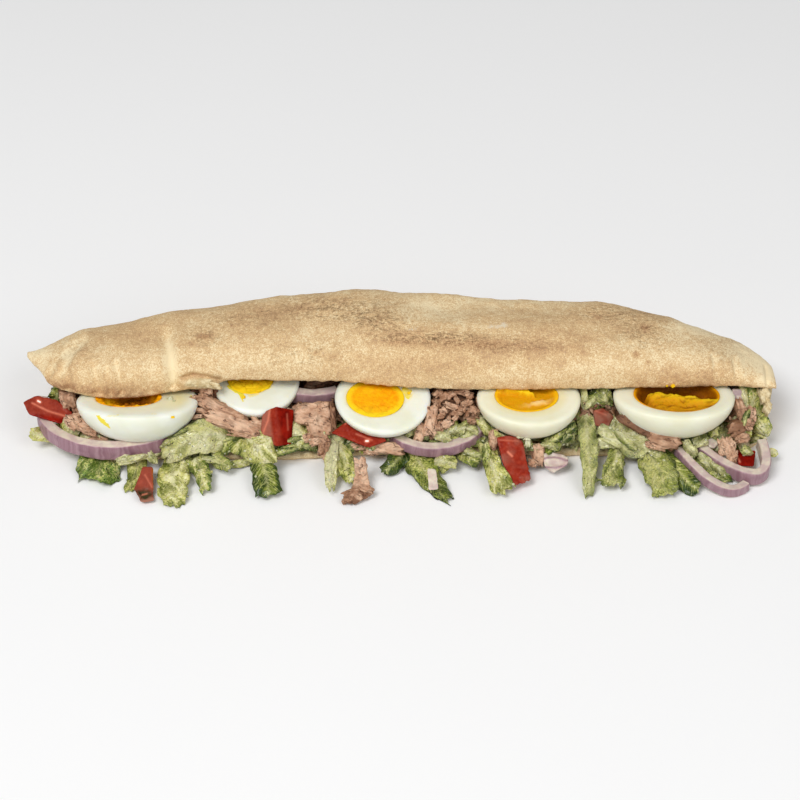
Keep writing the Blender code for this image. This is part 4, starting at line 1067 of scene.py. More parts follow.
def slice_tree():
    """Sweeps an onion layer's section along the line of its skin side's upper edge."""
    floats = dict.fromkeys(("Thickness", "Height", "Edge", "Wave"), "Float")
    r = Recipe("onion slice", **floats, Finish="Material")
    rail = r.even(r.step("GeometryNodeMeshToCurve", {}, {0: r["Geometry"]}), 0.6)
    rail = r.store(rail, "along", r.step("GeometryNodeSplineParameter", out="Length"))
    rail = r.step("GeometryNodeSetCurveNormal", {"mode": "Z_UP"}, {0: rail})
    sides = {"Width": r["Thickness"], "Height": r["Height"]}
    box = r.step("GeometryNodeCurvePrimitiveQuadrilateral", {}, sides)
    corners = {0: box, "Count": 5, "Radius": r["Edge"]}
    box = r.even(r.step("GeometryNodeFilletCurve", {"mode": "POLY"}, corners), 0.5)
    place = r.step("GeometryNodeInputPosition")
    box = r.store(box, "inward", r.step("ShaderNodeSeparateXYZ", {}, {0: place}))
    half = {0: r.times(r["Thickness"], -0.5), 1: r.times(r["Height"], 0.5)}
    half = r.step("ShaderNodeCombineXYZ", {}, half)
    box = r.step("GeometryNodeTransform", {}, {"Geometry": box, "Translation": half})
    swept = {"Curve": rail, "Profile Curve": box, "Fill Caps": True}
    swept = r.step("GeometryNodeCurveToMesh", {}, swept)
    cloud = {"Vector": place, "Scale": 150.0, "Detail": 2.0}
    cloud = r.step("ShaderNodeTexNoise", {}, cloud, "Color")
    cloud = r.step("ShaderNodeVectorMath", {"operation": "SUBTRACT"}, {0: cloud, 1: (0.5, 0.5, 0.5)})
    cloud = r.step("ShaderNodeVectorMath", {"operation": "SCALE"}, {0: cloud, "Scale": r["Wave"]})
    swept = r.step("GeometryNodeSetPosition", {}, {"Geometry": swept, "Offset": cloud})
    swept = r.step("GeometryNodeSetShadeSmooth", {}, {"Geometry": swept})
    return r.served(swept)


def oval(centre, half_width, half_depth, start, end, front_down, steps):
    """The outer line of a ring slice, seen from above, angles from the right end."""
    line = []
    for k in range(steps + 1):
        a = math.radians(start + (end - start) * k / steps)
        y = half_depth * math.sin(a)
        z = centre[2] + y * math.tan(math.radians(front_down))
        line.append(Vector((centre[0] + half_width * math.cos(a), centre[1] + y, z)))
    return line


def bow(first, second, third, fourth, steps):
    """A smooth bow between its first and fourth points, pulled by the other two."""
    line = []
    for k in range(steps + 1):
        t = k / steps
        weights = ((1 - t) ** 3, 3 * t * (1 - t) ** 2, 3 * t * t * (1 - t), t**3)
        corners = zip(weights, (first, second, third, fourth))
        line.append(sum((Vector(p) * w for w, p in corners), Vector()))
    return line


# Each ring: its line, thickness, height, and how lilac its cut side is.
RINGS = (
    (oval((-129.5, 7.0, 16.9), 38, 30.0, 172, 368, 3.0, 80), 4.8, 7.8, 0.15),
    (oval((-40.0, 23.5, 24.2), 24, 20.5, 235, 300, 0, 30), 5.0, 6.3, 0.5),
    (oval((15.2, 6.6, 16.6), 28.0, 27.3, 190, 356, 8.6, 80), 4.8, 5.4, 0.25),
    (
        bow((134.4, -16.6, 10.4), (156, -40.5, 7.0), (171, -38.5, 8.0), (166.2, -13.5, 12.6), 60),
        4.2, 6.6, 0.3,
    ),
    (
        bow((124.5, -18.5, 11.0), (134, -38, 8.6), (147, -46.0, 4.2), (156.5, -35.8, 5.2), 50),
        4.0, 4.8, 0.35,
    ),
)


def make_rings():
    tree = slice_tree()
    for number, (line, thick, tall, lilac) in enumerate(RINGS, 1):
        mesh = bpy.data.meshes.new("rail")
        shift = Vector((0, -FORWARD, 0))
        edges = [(k, k + 1) for k in range(len(line) - 1)]
        mesh.from_pydata([(p + shift) * MM for p in line], edges, [])
        piece = linked(f"onion_slice_{number}", mesh)
        sizes = {"Thickness": thick * MM, "Height": tall * MM, "Edge": 0.6 * MM, "Wave": 0.9 * MM}
        grown_by(piece, tree, **sizes, Finish=ONION)
        skin = ease((mark_of(piece, "inward") / sizes["Thickness"] - 0.38) / 0.1)
        set_marks(piece, skin=skin, lilac=np.full(len(skin), lilac))
        serve(piece, "onion", f"onion_ring_{number}")


make_rings()


# ---------------------------------------------------------------- cut pieces
def remeshed(node, name, finish, voxel, smooth):
    """A finer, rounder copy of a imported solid."""
    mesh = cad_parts[node].data.copy()
    shell = bmesh.new()
    shell.from_mesh(mesh)
    bmesh.ops.remove_doubles(shell, verts=shell.verts, dist=1e-6)
    shell.to_mesh(mesh)
    shell.free()
    piece = linked(name, mesh)
    finer = piece.modifiers.new("finer", "REMESH")
    finer.mode = "VOXEL"
    finer.voxel_size = voxel * MM
    finer.use_smooth_shade = True
    rounder = piece.modifiers.new("rounder", "SMOOTH")
    rounder.factor = 0.5
    rounder.iterations = smooth
    baked(piece)
    piece.data.materials.clear()
    piece.data.materials.append(finish)
    return piece


# Each tomato: a direction that its skin faces, and how far out the skin starts.
TOMATO_SKIN = {
    1: ((0.0, -0.9, 0.3), 0.55), 2: ((0.95, 0.0, 0.2), 0.1), 3: ((0.0, -0.3, -0.9), 0.7),
    4: ((0.2, -0.5, -0.8), 0.9), 5: ((0.0, -0.8, 0.6), 0.0), 6: ((-0.7, 0.2, -0.3), 0.5),
    7: ((0.2, 0.2, 0.9), 0.9),
}


# Painted highlights on the tomatoes, on their bright edges and wet glints: a line of columns and
# rows, its half width in millimetres, and how strong it is.
PAINTED_GLINTS = {
    1: ((((32, 403), (48, 411), (68, 417)), 0.45, 0.8), (((38, 401), (40, 402)), 0.6, 1.8)),
    2: ((((270, 408), (268, 420), (262, 436)), 0.5, 0.7), (((287, 414), (288, 430)), 0.4, 0.35)),
    3: (
        (((366, 441), (368, 441)), 0.6, 2.0), (((345, 424), (352, 418)), 0.4, 0.6),
        (((356, 434), (372, 440)), 0.4, 0.5),
    ),
    4: ((((508, 452), (512, 456)), 0.5, 1.1), (((500, 440), (518, 441)), 0.4, 0.4)),
    5: ((((738, 458), (740, 462)), 0.4, 0.8),),
    6: ((((145, 475), (152, 487)), 0.4, 0.5), (((138, 494), (147, 492)), 0.35, 0.7)),
    7: ((((596, 411), (606, 415)), 0.4, 0.35),),
}
# The seed gel of tomato 6, a mark like those on the crust, and the orange line beside it.
GEL = ((143, 493.5, 9, 4.6, 1.5),)
ORANGE_LINE = ((153, 470), (155, 488))


def make_tomatoes():
    for number, (facing, start) in TOMATO_SKIN.items():
        piece = remeshed(f"tomato_{number}", f"tomato_piece_{number}", TOMATO, 0.4, 3)
        points, normals = points_of(piece), normals_of(piece)
        seen, centre = as_seen(points), points.mean(0)
        way = np.array(Vector(facing).normalized())
        side = (points - centre) @ way / (np.ptp(points @ way) / 2)
        skin = ease((side - start) / 0.25)
        lift = (0.18 * rough(points, 2.5, number) + 0.1 * rough(points, 1.1, number)) * (1 - skin * 0.8)
        gel = pink = orange = np.zeros(len(points))
        if number == 1:
            pink = ease((points[:, 2] - centre[2]) / 2) * 0.1
        elif number == 2:
            pink = ease((-side - 0.1) / 0.3) * 0.55
        elif number == 4:
            far = ease((centre[2] + 1 - points[:, 2]) / 5) * ease((points[:, 0] - centre[0]) / 3)
            lift += far * (1.2 * rough(points, 2.4, 14) + 0.8 * rough(points, 1.2, 15))
            pink = np.clip(0.1 + 0.5 * rough(points, 3.5, 18), 0, 0.4)
        elif number == 6:
            gel = np.clip(spots(seen, GEL) * (1 + 0.6 * rough(points, 1.4, 17)), 0, 1)
            lift += 0.35 * rough(points, 3.0, 16)
            lift -= 1.4 * gel
            pink = 0.25 + 1.1 * ease((seen[1] - 495) / 3)
            orange = np.exp(-((from_line(seen, ORANGE_LINE) / 0.7) ** 2))
        elif number == 7:
            gel = gel + 0.3
            pink = 0.55 + 0.7 * rough(points, 2.4, 7)
        move_to(piece, points + normals * lift[:, None])
        # painted highlights, kept to the sides that face the front
        light = np.zeros(len(points))
        for line, half, much in PAINTED_GLINTS[number]:
            light += much * np.exp(-((from_line(seen, line) / half) ** 2))
        light *= normals @ FACING > 0
        set_marks(piece, light=light, skin=skin, gel=gel, pink=pink, orange=orange)
        serve(piece, "tomato", f"tomato_{number}")


make_tomatoes()


ONION_BITS = {"onion_strip": 1.0, "onion_bit_1": 0.1, "onion_bit_2": 0.0, "onion_bit_3": 0.0}  # how lilac
BIT_SKINS = (((541, 459), (555, 457), (569, 461)), ((542, 467), (556, 468), (568, 465)))


def make_onion_bits():
    for number, (node, lilac) in enumerate(ONION_BITS.items()):
        piece = remeshed(node, node + "_cut", ONION, 0.35, 2)
        points, normals = points_of(piece), normals_of(piece)
        skin = np.zeros(len(points))
        lift = 0.25 * rough(points, 2.0, number)
        if node == "onion_bit_1":
            # layers that show at its cut end, with the skin of two of them
            centre, seen = points.mean(0), as_seen(points)
            around = np.hypot(points[:, 0] - centre[0], 1.3 * (points[:, 2] - centre[2]) - 9)
            lift = lift + 0.3 * np.sin(around * 2.8)
            skin = 0.9 * sum(np.exp(-((from_line(seen, line) / 0.55) ** 2)) for line in BIT_SKINS)
        move_to(piece, points + normals * lift[:, None])
        set_marks(piece, skin=skin, along=points[:, 0] * MM, lilac=np.full(len(points), lilac))
        serve(piece, "onion", node)


make_onion_bits()


# ---------------------------------------------------------------- tuna
# Each torn piece: the column and row of its middle and its width and height in pixels of
# the photograph, how thick it is, how far out its middle lies, its turn, how brown it is (for
# pieces under the bread's lip partly painted shade), and a last 1 if it is a smoother fillet.
TUNA_PIECES = (
    (68, 399, 17, 20, 6, 12, 10, 0.75), (80, 424, 18, 12, 6, 19, -35, 0.4),
    (91, 432, 15, 9, 5, 19.5, -20, 0.5), (75, 417, 9, 8, 4, 19, 20, 0.3),
    (100, 439, 20, 6, 4, 17.5, -10, 0.4),
    (206, 386, 14, 22, 7, 14, 0, 0.4), (196, 389, 12, 8, 4, 11, 0, 0.9),
    (215, 391, 8, 14, 4, 12, 0, 0.9), (221, 410, 58, 15, 7, 17.0, -27, 0.3),
    (233, 423, 64, 15, 7, 18.2, -19, 0.35), (200, 402, 17, 6, 4, 17.8, -32, 0.2),
    (199, 410, 17, 5, 4, 18.2, -12, 0.25), (196, 417, 14, 5, 4, 18.0, 8, 0.3),
    (259, 426, 18, 14, 6, 17.5, -30, 0.45), (244, 434, 26, 7, 4, 19, -8, 0.5),
    (313, 414, 36, 22, 7, 16.5, 6, 0.45, 1), (322, 428, 26, 22, 7, 17.2, -40, 0.35),
    (333, 418, 6, 28, 6, 18.2, 4, 1.0), (309, 437, 16, 9, 5, 17.5, 15, 0.4),
    (324, 446, 13, 18, 5, 19.0, -12, 0.5), (316, 441, 14, 8, 4, 18.4, 30, 0.45),
    (327, 457, 9, 9, 4, 19.6, 20, 0.5),
    (431, 422, 14, 32, 6, 17.2, -6, 0.2, 1), (420, 432, 11, 20, 5, 17.0, -14, 0.3, 1),
    (440, 428, 9, 14, 5, 17.5, -20, 0.5), (447, 396, 16, 9, 5, 13.5, 25, 0.6),
    (463, 392, 17, 8, 5, 13.5, -10, 0.65), (438, 393, 10, 8, 5, 13, 40, 0.7),
    (451, 407, 14, 8, 4, 15.5, -25, 0.5), (466, 404, 13, 7, 4, 15.0, 35, 0.6),
    (457, 413, 12, 6, 4, 16.5, 10, 0.6), (474, 411, 10, 9, 4, 15.5, -40, 0.55),
    (447, 424, 14, 10, 5, 18.2, 35, 0.25), (471, 421, 9, 6, 4, 16.2, -15, 0.6),
    (480, 402, 7, 12, 4, 14.5, 15, 0.5), (443, 411, 8, 8, 4, 16.8, -50, 0.45),
    (437, 404, 8, 9, 4, 15.4, 20, 0.7), (457, 400, 8, 5, 3, 15.5, -60, 0.55),
    (470, 397, 7, 5, 3, 14.8, 30, 0.6), (462, 409, 7, 5, 3, 16.8, -20, 0.45),
    (455, 418, 7, 5, 3, 17.6, 50, 0.5), (440, 417, 7, 5, 3, 17.8, 10, 0.4),
    (467, 415, 7, 4, 3, 16.6, 70, 0.6),
    (493, 441, 10, 22, 5, 18.0, -5, 0.35), (538, 454, 14, 19, 5, 19.5, 10, 0.6),
    (533, 463, 9, 8, 4, 20.5, -20, 0.6),
    (649, 430, 64, 16, 5, 22.8, -29, 0.8, 1), (665, 439, 32, 15, 5, 23.2, -16, 0.75, 1),
    (637, 421, 34, 10, 5, 22.0, -36, 0.8), (656, 446, 20, 8, 3, 23.5, -12, 0.5),
    (361, 467, 12, 17, 3, 30.0, 5, 0.1), (352, 494, 17, 9, 3, 33.5, 12, 0.7),
    (366, 489, 14, 7, 3, 33.0, -18, 0.65), (347, 500, 9, 6, 2.5, 34.5, 20, 0.8),
    (359, 497, 8, 6, 2.5, 34.5, -30, 0.7),
    (741, 411, 12, 22, 6, 17.5, 20, 0.55), (736, 428, 16, 14, 6, 19.0, 35, 0.6),
    (747, 424, 12, 12, 5, 19.0, -30, 0.5), (742, 438, 14, 10, 5, 19.5, 10, 0.55),
    (752, 414, 9, 14, 4, 18.2, 0, 0.5), (727, 447, 17, 18, 3, 22.5, 15, 0.35),
    (732, 457, 11, 14, 3, 22.8, -10, 0.35),
    (388, 448, 30, 12, 4, 18.5, -6, 0.35), (362, 446, 24, 8, 4, 17, 0, 0.4),
    (372, 452, 14, 7, 3, 18, 0, 0.45),
    (71, 423, 16, 9, 4, 22.0, -50, 0.15),
)


def ball(level):
    """Points and faces of a round start for a torn piece."""
    shell = bmesh.new()
    bmesh.ops.create_icosphere(shell, subdivisions=level, radius=1.0)
    points = np.array([v.co for v in shell.verts])
    faces = [tuple(v.index for v in f.verts) for f in shell.faces]
    shell.free()
    return points, faces


LEANED = np.array(Matrix.Rotation(-LEAN, 3, "X")).T  # turns an upright piece onto the front


def torn_piece(rng, entry, level=4):
    """A torn lump of tuna: plates of fibres at different tilts, with cracks between them."""
    column, row, wide, high, deep, out, turn, brown = entry[:8]
    loose = 0.4 if len(entry) > 8 else 1.0
    if high > wide:
        wide, high, turn = high, wide, turn + 90
    points, faces = ball(level)
    seed = rng.uniform(0, 40)
    size = np.array((wide * PIXEL, deep, high * PIXEL)) / 2
    body = points / np.abs(points).max(1)[:, None] ** 0.6 * size
    body *= (1 + 0.3 * rough(points * 1.7, 1.0, seed))[:, None]
    # fibres that stick out at the two ends
    strand = rough(body * (0.02, 1, 1), 1.1, seed + 5)
    ends = np.sign(points[:, 0]) * ease((np.abs(points[:, 0]) - 0.2) / 0.7)
    body[:, 0] += ends * strand * min(0.6 * size[0], 3.0) * loose
    plate = min(max(0.9 * min(size), 1.1), 2.6)
    clear, own, tilt = broken(body * (0.45, 1.0, 1.0), plate, seed)
    fibre = rough(body * (0.18, 1, 1), 0.6, seed + 3)
    lift = (0.45 * own + 0.75 * tilt - 0.45 * (1 - clear)) * min(plate, 2.0) * 0.52 * loose + 0.2 * fibre
    body += points * lift[:, None]
    a = math.radians(turn)
    spun = body.copy()
    spun[:, 0] = body[:, 0] * math.cos(a) - body[:, 2] * math.sin(a)
    spun[:, 2] = body[:, 0] * math.sin(a) + body[:, 2] * math.cos(a)
    world = spun @ LEANED + np.array(at_pixel(column, row, out))
    world[:, 2] = np.maximum(world[:, 2], TABLE)
    tone = np.clip(brown + rng.uniform(-0.15, 0.15) + 0.3 * own, 0, 1)
    # deep: painted shade in the cracks between the plates
    return world, faces, {"tone": tone, "deep": 0.6 * (1 - clear) ** 3}


def sheaf(name, parts, finish):
    """Several parts, each its points, faces and marks, as one piece."""
    points, marks, faces = [], [], []
    first = 0
    for own_points, own_faces, own_marks in parts:
        faces += [tuple(first + v for v in face) for face in own_faces]
        first += len(own_points)
        points.append(own_points)
        marks.append(own_marks)
    together = {key: np.concatenate([m[key] for m in marks]) for key in marks[0]}
    return shape(name, np.concatenate(points), faces, finish, together)


def make_heap():
    piece = remeshed("tuna", "tuna_heap", TUNA, 0.95, 1)
    points, normals = points_of(piece), normals_of(piece)
    turned = points @ np.array(Matrix.Rotation(math.radians(22), 3, "Y"))
    clear, own, tilt = broken(turned * (0.5, 1, 1), 2.6, 1)
    fibre = rough(turned * (0.2, 1, 1), 0.7, 1)
    up = up_of(points)
    lift = 0.9 * own + 1.1 * tilt - 0.7 * (1 - clear) + 0.16 * fibre + 0.6 * rough(points, 6, 2) - 0.7
    lift -= 1.2 * ease((up - 17) / 5)
    move_to(piece, points + normals * lift[:, None])
    # painted shadow: the heap is darkened and browned towards the bread's lip, and deep paints shade in its
    # cracks
    shaded = ease((up - 13) / 8)  # the dark gaps under the lip
    tone = 0.6 + 0.5 * own + 0.3 * rough(points, 9, 4) + 0.25 * shaded
    set_marks(piece, tone=tone, deep=np.clip(0.85 * (1 - clear) ** 3 + 0.55 * shaded, 0, 0.9))
    return serve(piece, "tuna", "tuna")


def make_torn_tuna():
    rng = random.Random(4)
    parts = [torn_piece(rng, entry) for entry in TUNA_PIECES]
    serve(sheaf("tuna_torn_pieces", parts, TUNA), "tuna")


def make_hanging_flake():
    flake = remeshed("tuna_flake", "tuna_hanging_flake", TUNA, 0.4, 1)
    points, normals = points_of(flake), normals_of(flake)
    clear, own, tilt = broken(points, 3.0, 5)
    lift = 0.5 * tilt + 0.3 * own + 0.25 * rough(points, 1.0, 6) - 0.3 * (1 - clear)
    move_to(flake, points + normals * lift[:, None])
    # deep: painted shade in the cracks
    set_marks(flake, tone=0.2 + 0.7 * ease((-17 - up_of(points)) / 6), deep=0.3 * (1 - clear))
    serve(flake, "tuna", "tuna_flake")


tuna = make_heap()
make_torn_tuna()
make_hanging_flake()


# ---------------------------------------------------------------- lettuce
# Each leaf: its root, middle and tip on the front, widths there, ruffle, and its look: how
# green its root and tip are, how much dressing it carries, and how much greener one side is.
STRANDS = (
    ((-150, 17, 2), (-155, 20, 7), (-160, 23, 11), (9, 10, 7), 0.8, (0.1, 0.9, 0.0)),
    ((-150, 5, 2), (-160, 3, 7), (-169.5, 2.5, 12), (9, 8, 5), 0.4, (0.1, 0.2, 0.1)),
    ((-133, 0, 9.5), (-135.5, -8.5, 16.8), (-137, -19.5, 25), (12, 18, 17), 1.6, (0.38, 0.62, 0.35)),
    ((-104, -1, 12), (-115, -5, 21.5), (-129, -9, 23), (7, 7, 5), 0.4, (0.0, 0.0, 0.6)),
    ((-122, 0, 9.5), (-119, -11, 18.6), (-121.5, -23, 28), (7, 9, 5), 0.7, (0.4, 0.5, 0.3)),
    ((-74, 0, 11), (-90.5, 1.5, 22), (-107, -8, 20), (10, 15, 7), 0.35, (0.25, 0.14, 0.7, 0.15)),
    ((-100, -4, 12), (-102, -17, 27), (-100.5, -29.0, 36), (10, 14, 9), 1.3, (0.16, 0.28, -0.05, 0.12)),
    ((-96, -3, 12), (-90, -13, 24), (-86.5, -22.5, 31), (9, 8, 6), 1.4, (0.3, 0.45, 0.15)),
    ((-90, -2, 11), (-82, -9, 20), (-76, -12, 23), (8, 7, 5), 0.8, (0.6, 0.6, 0.5)),
    ((-75, 1, 10), (-67, -1, 20.5), (-58, -12.5, 24), (10, 16, 10), 1.0, (0.3, 0.16, 0.4, 0.15)),
    ((-66, -2, 14), (-61.5, -13, 25.5), (-58.5, -25, 33), (9, 11, 13), 0.35, (0.68, 0.95, -0.4, 0.1)),
    ((-33, -3, 10), (-47, -2.5, 18.5), (-60, -7.5, 18.5), (6, 5, 3), 0.8, (0.8, 0.8, 0.1)),
    ((-30.5, 2, 12), (-31, -8, 24), (-31, -22, 32), (5, 6, 4), 0.5, (-0.15, 0.0, 0.5)),
    ((-28, 0, 11), (-25, -9, 23), (-21.5, -19, 30), (6, 8, 5), 0.8, (0.3, 0.4, 0.3)),
    ((3, -0.4, 10.1), (-1, -8.5, 17.3), (-8, -14.5, 22), (8, 9, 5), 0.8, (1.0, 1.1, -0.1)),
    ((6, -0.4, 10.1), (10, -12, 19.9), (21.5, -27.5, 33.2), (12, 13, 6), 1.0, (0.35, 0.9, 0.3)),
    ((16, -0.4, 10.1), (19.5, -7.5, 17), (22.5, -13, 21), (8, 9, 7), 0.6, (0.25, 0.35, 0.5)),
    ((26, -3, 12), (31, -7, 19), (35.5, -10, 22), (8, 8, 5), 0.9, (0.6, 0.7, 0.3)),
    ((38.5, 2, 11), (41, -9, 23), (47, -23, 32.5), (7, 8, 12), 1.2, (0.3, 0.28, 0.3)),
    ((80, 5, 10), (72, 0.5, 17.5), (64.5, -4.5, 19), (8, 9, 6), 0.9, (0.8, 0.7, 0.1)),
    ((83.5, 15, 10), (85.2, -2, 22), (84, -24.5, 32), (8, 8, 5.5), 0.4, (0.38, 0.5, 0.7)),
    ((87, 16, 6), (91, 20, 11), (94, 24, 13), (8, 8, 5), 0.8, (0.7, 0.9, 0.3)),
    ((90, 8, 10), (101, 1.5, 18.5), (113, -4.5, 19.5), (10, 15, 9), 0.8, (0.3, 0.3, 0.8, 0.2)),
    ((102, -2, 12), (97.5, -9, 21.5), (95, -20.5, 30), (8, 9, 12), 1.2, (0.35, 0.55, 0.55)),
    ((110, -1, 12), (116, -12, 24), (119, -25, 33), (10, 15, 12), 0.4, (0.5, 0.58, 0.5, -0.15)),
    ((126, 0, 11), (129, -4, 19), (131.5, -9, 22), (9, 8, 5), 0.9, (0.3, 0.4, 0.8)),
    ((155, 8, 4), (160, 16, 9.5), (163.5, 24, 12.5), (10, 15, 9), 1.4, (0.35, 0.5, 0.25)),
    ((156, 6, 5), (162, 7, 11), (168, 2, 12), (8, 9, 5), 1.2, (0.2, 0.1, 0.1)),
    ((132, -3, 14), (140, -12, 21), (147, -18.5, 25.5), (9, 11, 6), 1.3, (0.5, 0.65, 0.5)),
    ((118, -7, 19), (126.5, -16, 26), (133.5, -22.3, 31), (8, 10, 7), 0.5, (0.6, 0.95, 0.0, 0.1)),
)
LEAF_MARKS = ("vein", "along", "across", "crisp", "green", "sauce", "fold")
EGG_CLEAR, OVER_FACE = 1.03, 6  # leaves keep so far off an egg half, as a share, and its face


def out_of_eggs(points):
    """Moves points that lie in an egg half, or in the air over its face, out to its side."""
    for egg in EGGS:
        there, back = np.array(egg_place(egg).inverted()), np.array(egg_place(egg))
        local = points @ there[:3, :3].T + there[:3, 3]
        depth = np.where(local[:, 2] < 0, local[:, 2] / egg.deep, 0)
        far = np.sqrt((local[:, 0] / egg.long) ** 2 + (local[:, 1] / egg.wide) ** 2 + depth**2)
        inside = (far < EGG_CLEAR) & (local[:, 2] < OVER_FACE)
        push = np.where(inside, EGG_CLEAR / np.maximum(far, 0.2), 1.0)
        local = local * np.stack([push, push, np.where(local[:, 2] < 0, push, 1.0)], 1)
        points = local @ back[:3, :3].T + back[:3, 3]
    return points


def sheet_faces(steps, across):
    """Faces of a thin closed sheet: one side's grid of points, then the other's, and a rim."""
    row = across + 1
    count = row * (steps + 1)
    faces = []
    for i in range(steps):
        for j in range(across):
            a = i * row + j
            quad = (a, a + 1, a + 1 + row, a + row)
            faces.append(quad)
            faces.append(tuple(count + v for v in reversed(quad)))
    rim = list(range(row)) + [i * row + across for i in range(1, steps + 1)]
    rim += [steps * row + j for j in range(across - 1, -1, -1)] + [i * row for i in range(steps - 1, 0, -1)]
    return faces + [(a, count + a, count + b, b) for a, b in zip(rim, rim[1:] + rim[:1])]


def wavy(*at):
    return noise.noise(Vector(at))


def leaf_mesh(rng, ends, widths, ruffle, look, steps=46, across=20, thick=0.55):
    """One torn leaf as a thin closed sheet: its points, faces and marks."""
    root, middle, tip = ends
    face = on_front(0, 0, 1)
    phase = rng.uniform(0, 6.28)
    length = (middle - root).length + (tip - middle).length
    seed = rng.uniform(0, 50)
    apart = Vector((seed, 0, 0))
    crisp = 0.5 + 0.9 * ruffle * (0.6 if look[1] < 0.3 else 1.0)
    centre, lifts, marks = [], [], []
    for i in range(steps + 1):
        t = i / steps
        for j in range(across + 1):
            s = 2 * j / across - 1
            # the end is torn, not straight
            torn = (0.05 + 0.05 * ruffle) * wavy(s * 1.9, seed, 0)
            torn += (0.01 + 0.03 * ruffle) * wavy(s * 5, seed, 4)
            r = t * (1 + torn - 0.05 * s * s)
            spine = root * ((1 - r) * (1 - 2 * r)) + middle * (4 * r * (1 - r)) + tip * (r * (2 * r - 1))
            ahead = (middle - root) * (1 - r) + (tip - middle) * r
            side = ahead.cross(face).normalized()
            lift = side.cross(ahead).normalized()
            lift = lift if lift.dot(face) > 0 else -lift
            width = widths[0] * (1 - r) * (1 - 2 * r) + widths[1] * 4 * r * (1 - r)
            width = max(width + widths[2] * r * (2 * r - 1), 1.6)
            # ragged sides, slow waves over the leaf and frills at its edge
            ragged = 1 + 0.24 * wavy(r * length / 5.0, seed + (s > 0) * 9, 1) * abs(s)
            ragged += 0.08 * wavy(r * length / 2.2, seed + (s > 0) * 9, 7) * abs(s)
            wave = ruffle * (0.3 + 0.7 * abs(s)) * math.sin(phase + 5.5 * r + 2.4 * s)
            edge = max(abs(s), (r - 0.85) / 0.15)
            frill = 1.3 * ruffle * max(edge - 0.45, 0) * math.sin(phase + r * length * 0.95 + 3 * s)
            off = s * ragged * width / 2
            p = spine + side * off
            # creases that run along the leaf, sharp at their crests, and a slow swell
            crest = abs(wavy(off / 4.4, r * length / 9, seed))
            crest += 0.35 * abs(wavy(off / 2.0, r * length / 4.5, seed + 7))
            swell = noise.noise(p / 5.5 + apart)
            fold = 1.9 * (0.28 - crest) + 0.9 * swell + 0.12 * noise.noise(p / 1.8 + apart)
            curl = 0.5 * ruffle * (1 - t) * s * s
            hump = 0.07 * width * (1 - s * s)
            centre.append(p + lift * (wave + frill + hump + fold * min(0.4 + ruffle, 1.2) - curl))
            lifts.append(lift)
            wander = s + 0.25 * wavy(r * 3, seed, 2)
            rib = math.exp(-(((wander * width / 2) / (0.35 + 0.9 * (1 - r))) ** 2))
            # greener at the edges, and in the valleys between creases as painted shade
            green = look[0] + (look[1] - look[0]) * r + 0.25 * (abs(s) - 0.45) + 0.35 * (crest - 0.25)
            green += look[3] * s if len(look) > 3 else 0.0
            green = green + 0.9 * max(edge - 0.86, 0) - 0.25 * rib * (1 - r)
            # the fold mark: below 0 in the valleys, where the finish paints shade
            deep = (3.2 * (0.25 - crest) + 1.3 * swell) * (0.35 + 0.65 * ruffle)
            deep = max(-1.0, min(1.0, deep))
            marks.append((rib * 0.8 * (1 - 0.5 * r), r * length + seed, off, crisp, green, look[2], deep))
    centre, lifts, marks = np.array(centre), np.array(lifts), np.array(marks).T
    s = np.tile(np.abs(np.linspace(-1, 1, across + 1)), steps + 1)
    t = np.repeat(np.linspace(0, 1, steps + 1), across + 1)
    half = thick / 2 * (1 - 0.5 * ease((s - 0.7) / 0.3)) * (1 - 0.6 * ease((t - 0.9) / 0.1))
    half = half + 0.5 * marks[0] * (s < 0.3) * (1 - t)
    sides = [centre + lifts * half[:, None], centre - lifts * half[:, None]]
    points = out_of_eggs(np.concatenate(sides))
    points[:, 2] = np.maximum(points[:, 2], TABLE)
    return points, sheet_faces(steps, across), dict(zip(LEAF_MARKS, np.tile(marks, 2)))


def make_leaves():
    rng = random.Random(11)
    parts = []
    for *ends, widths, ruffle, look in STRANDS:
        parts.append(leaf_mesh(rng, [on_front(*p) for p in ends], widths, ruffle, look))
    return serve(sheaf("lettuce_leaves", parts, LEAF), "lettuce", "lettuce")


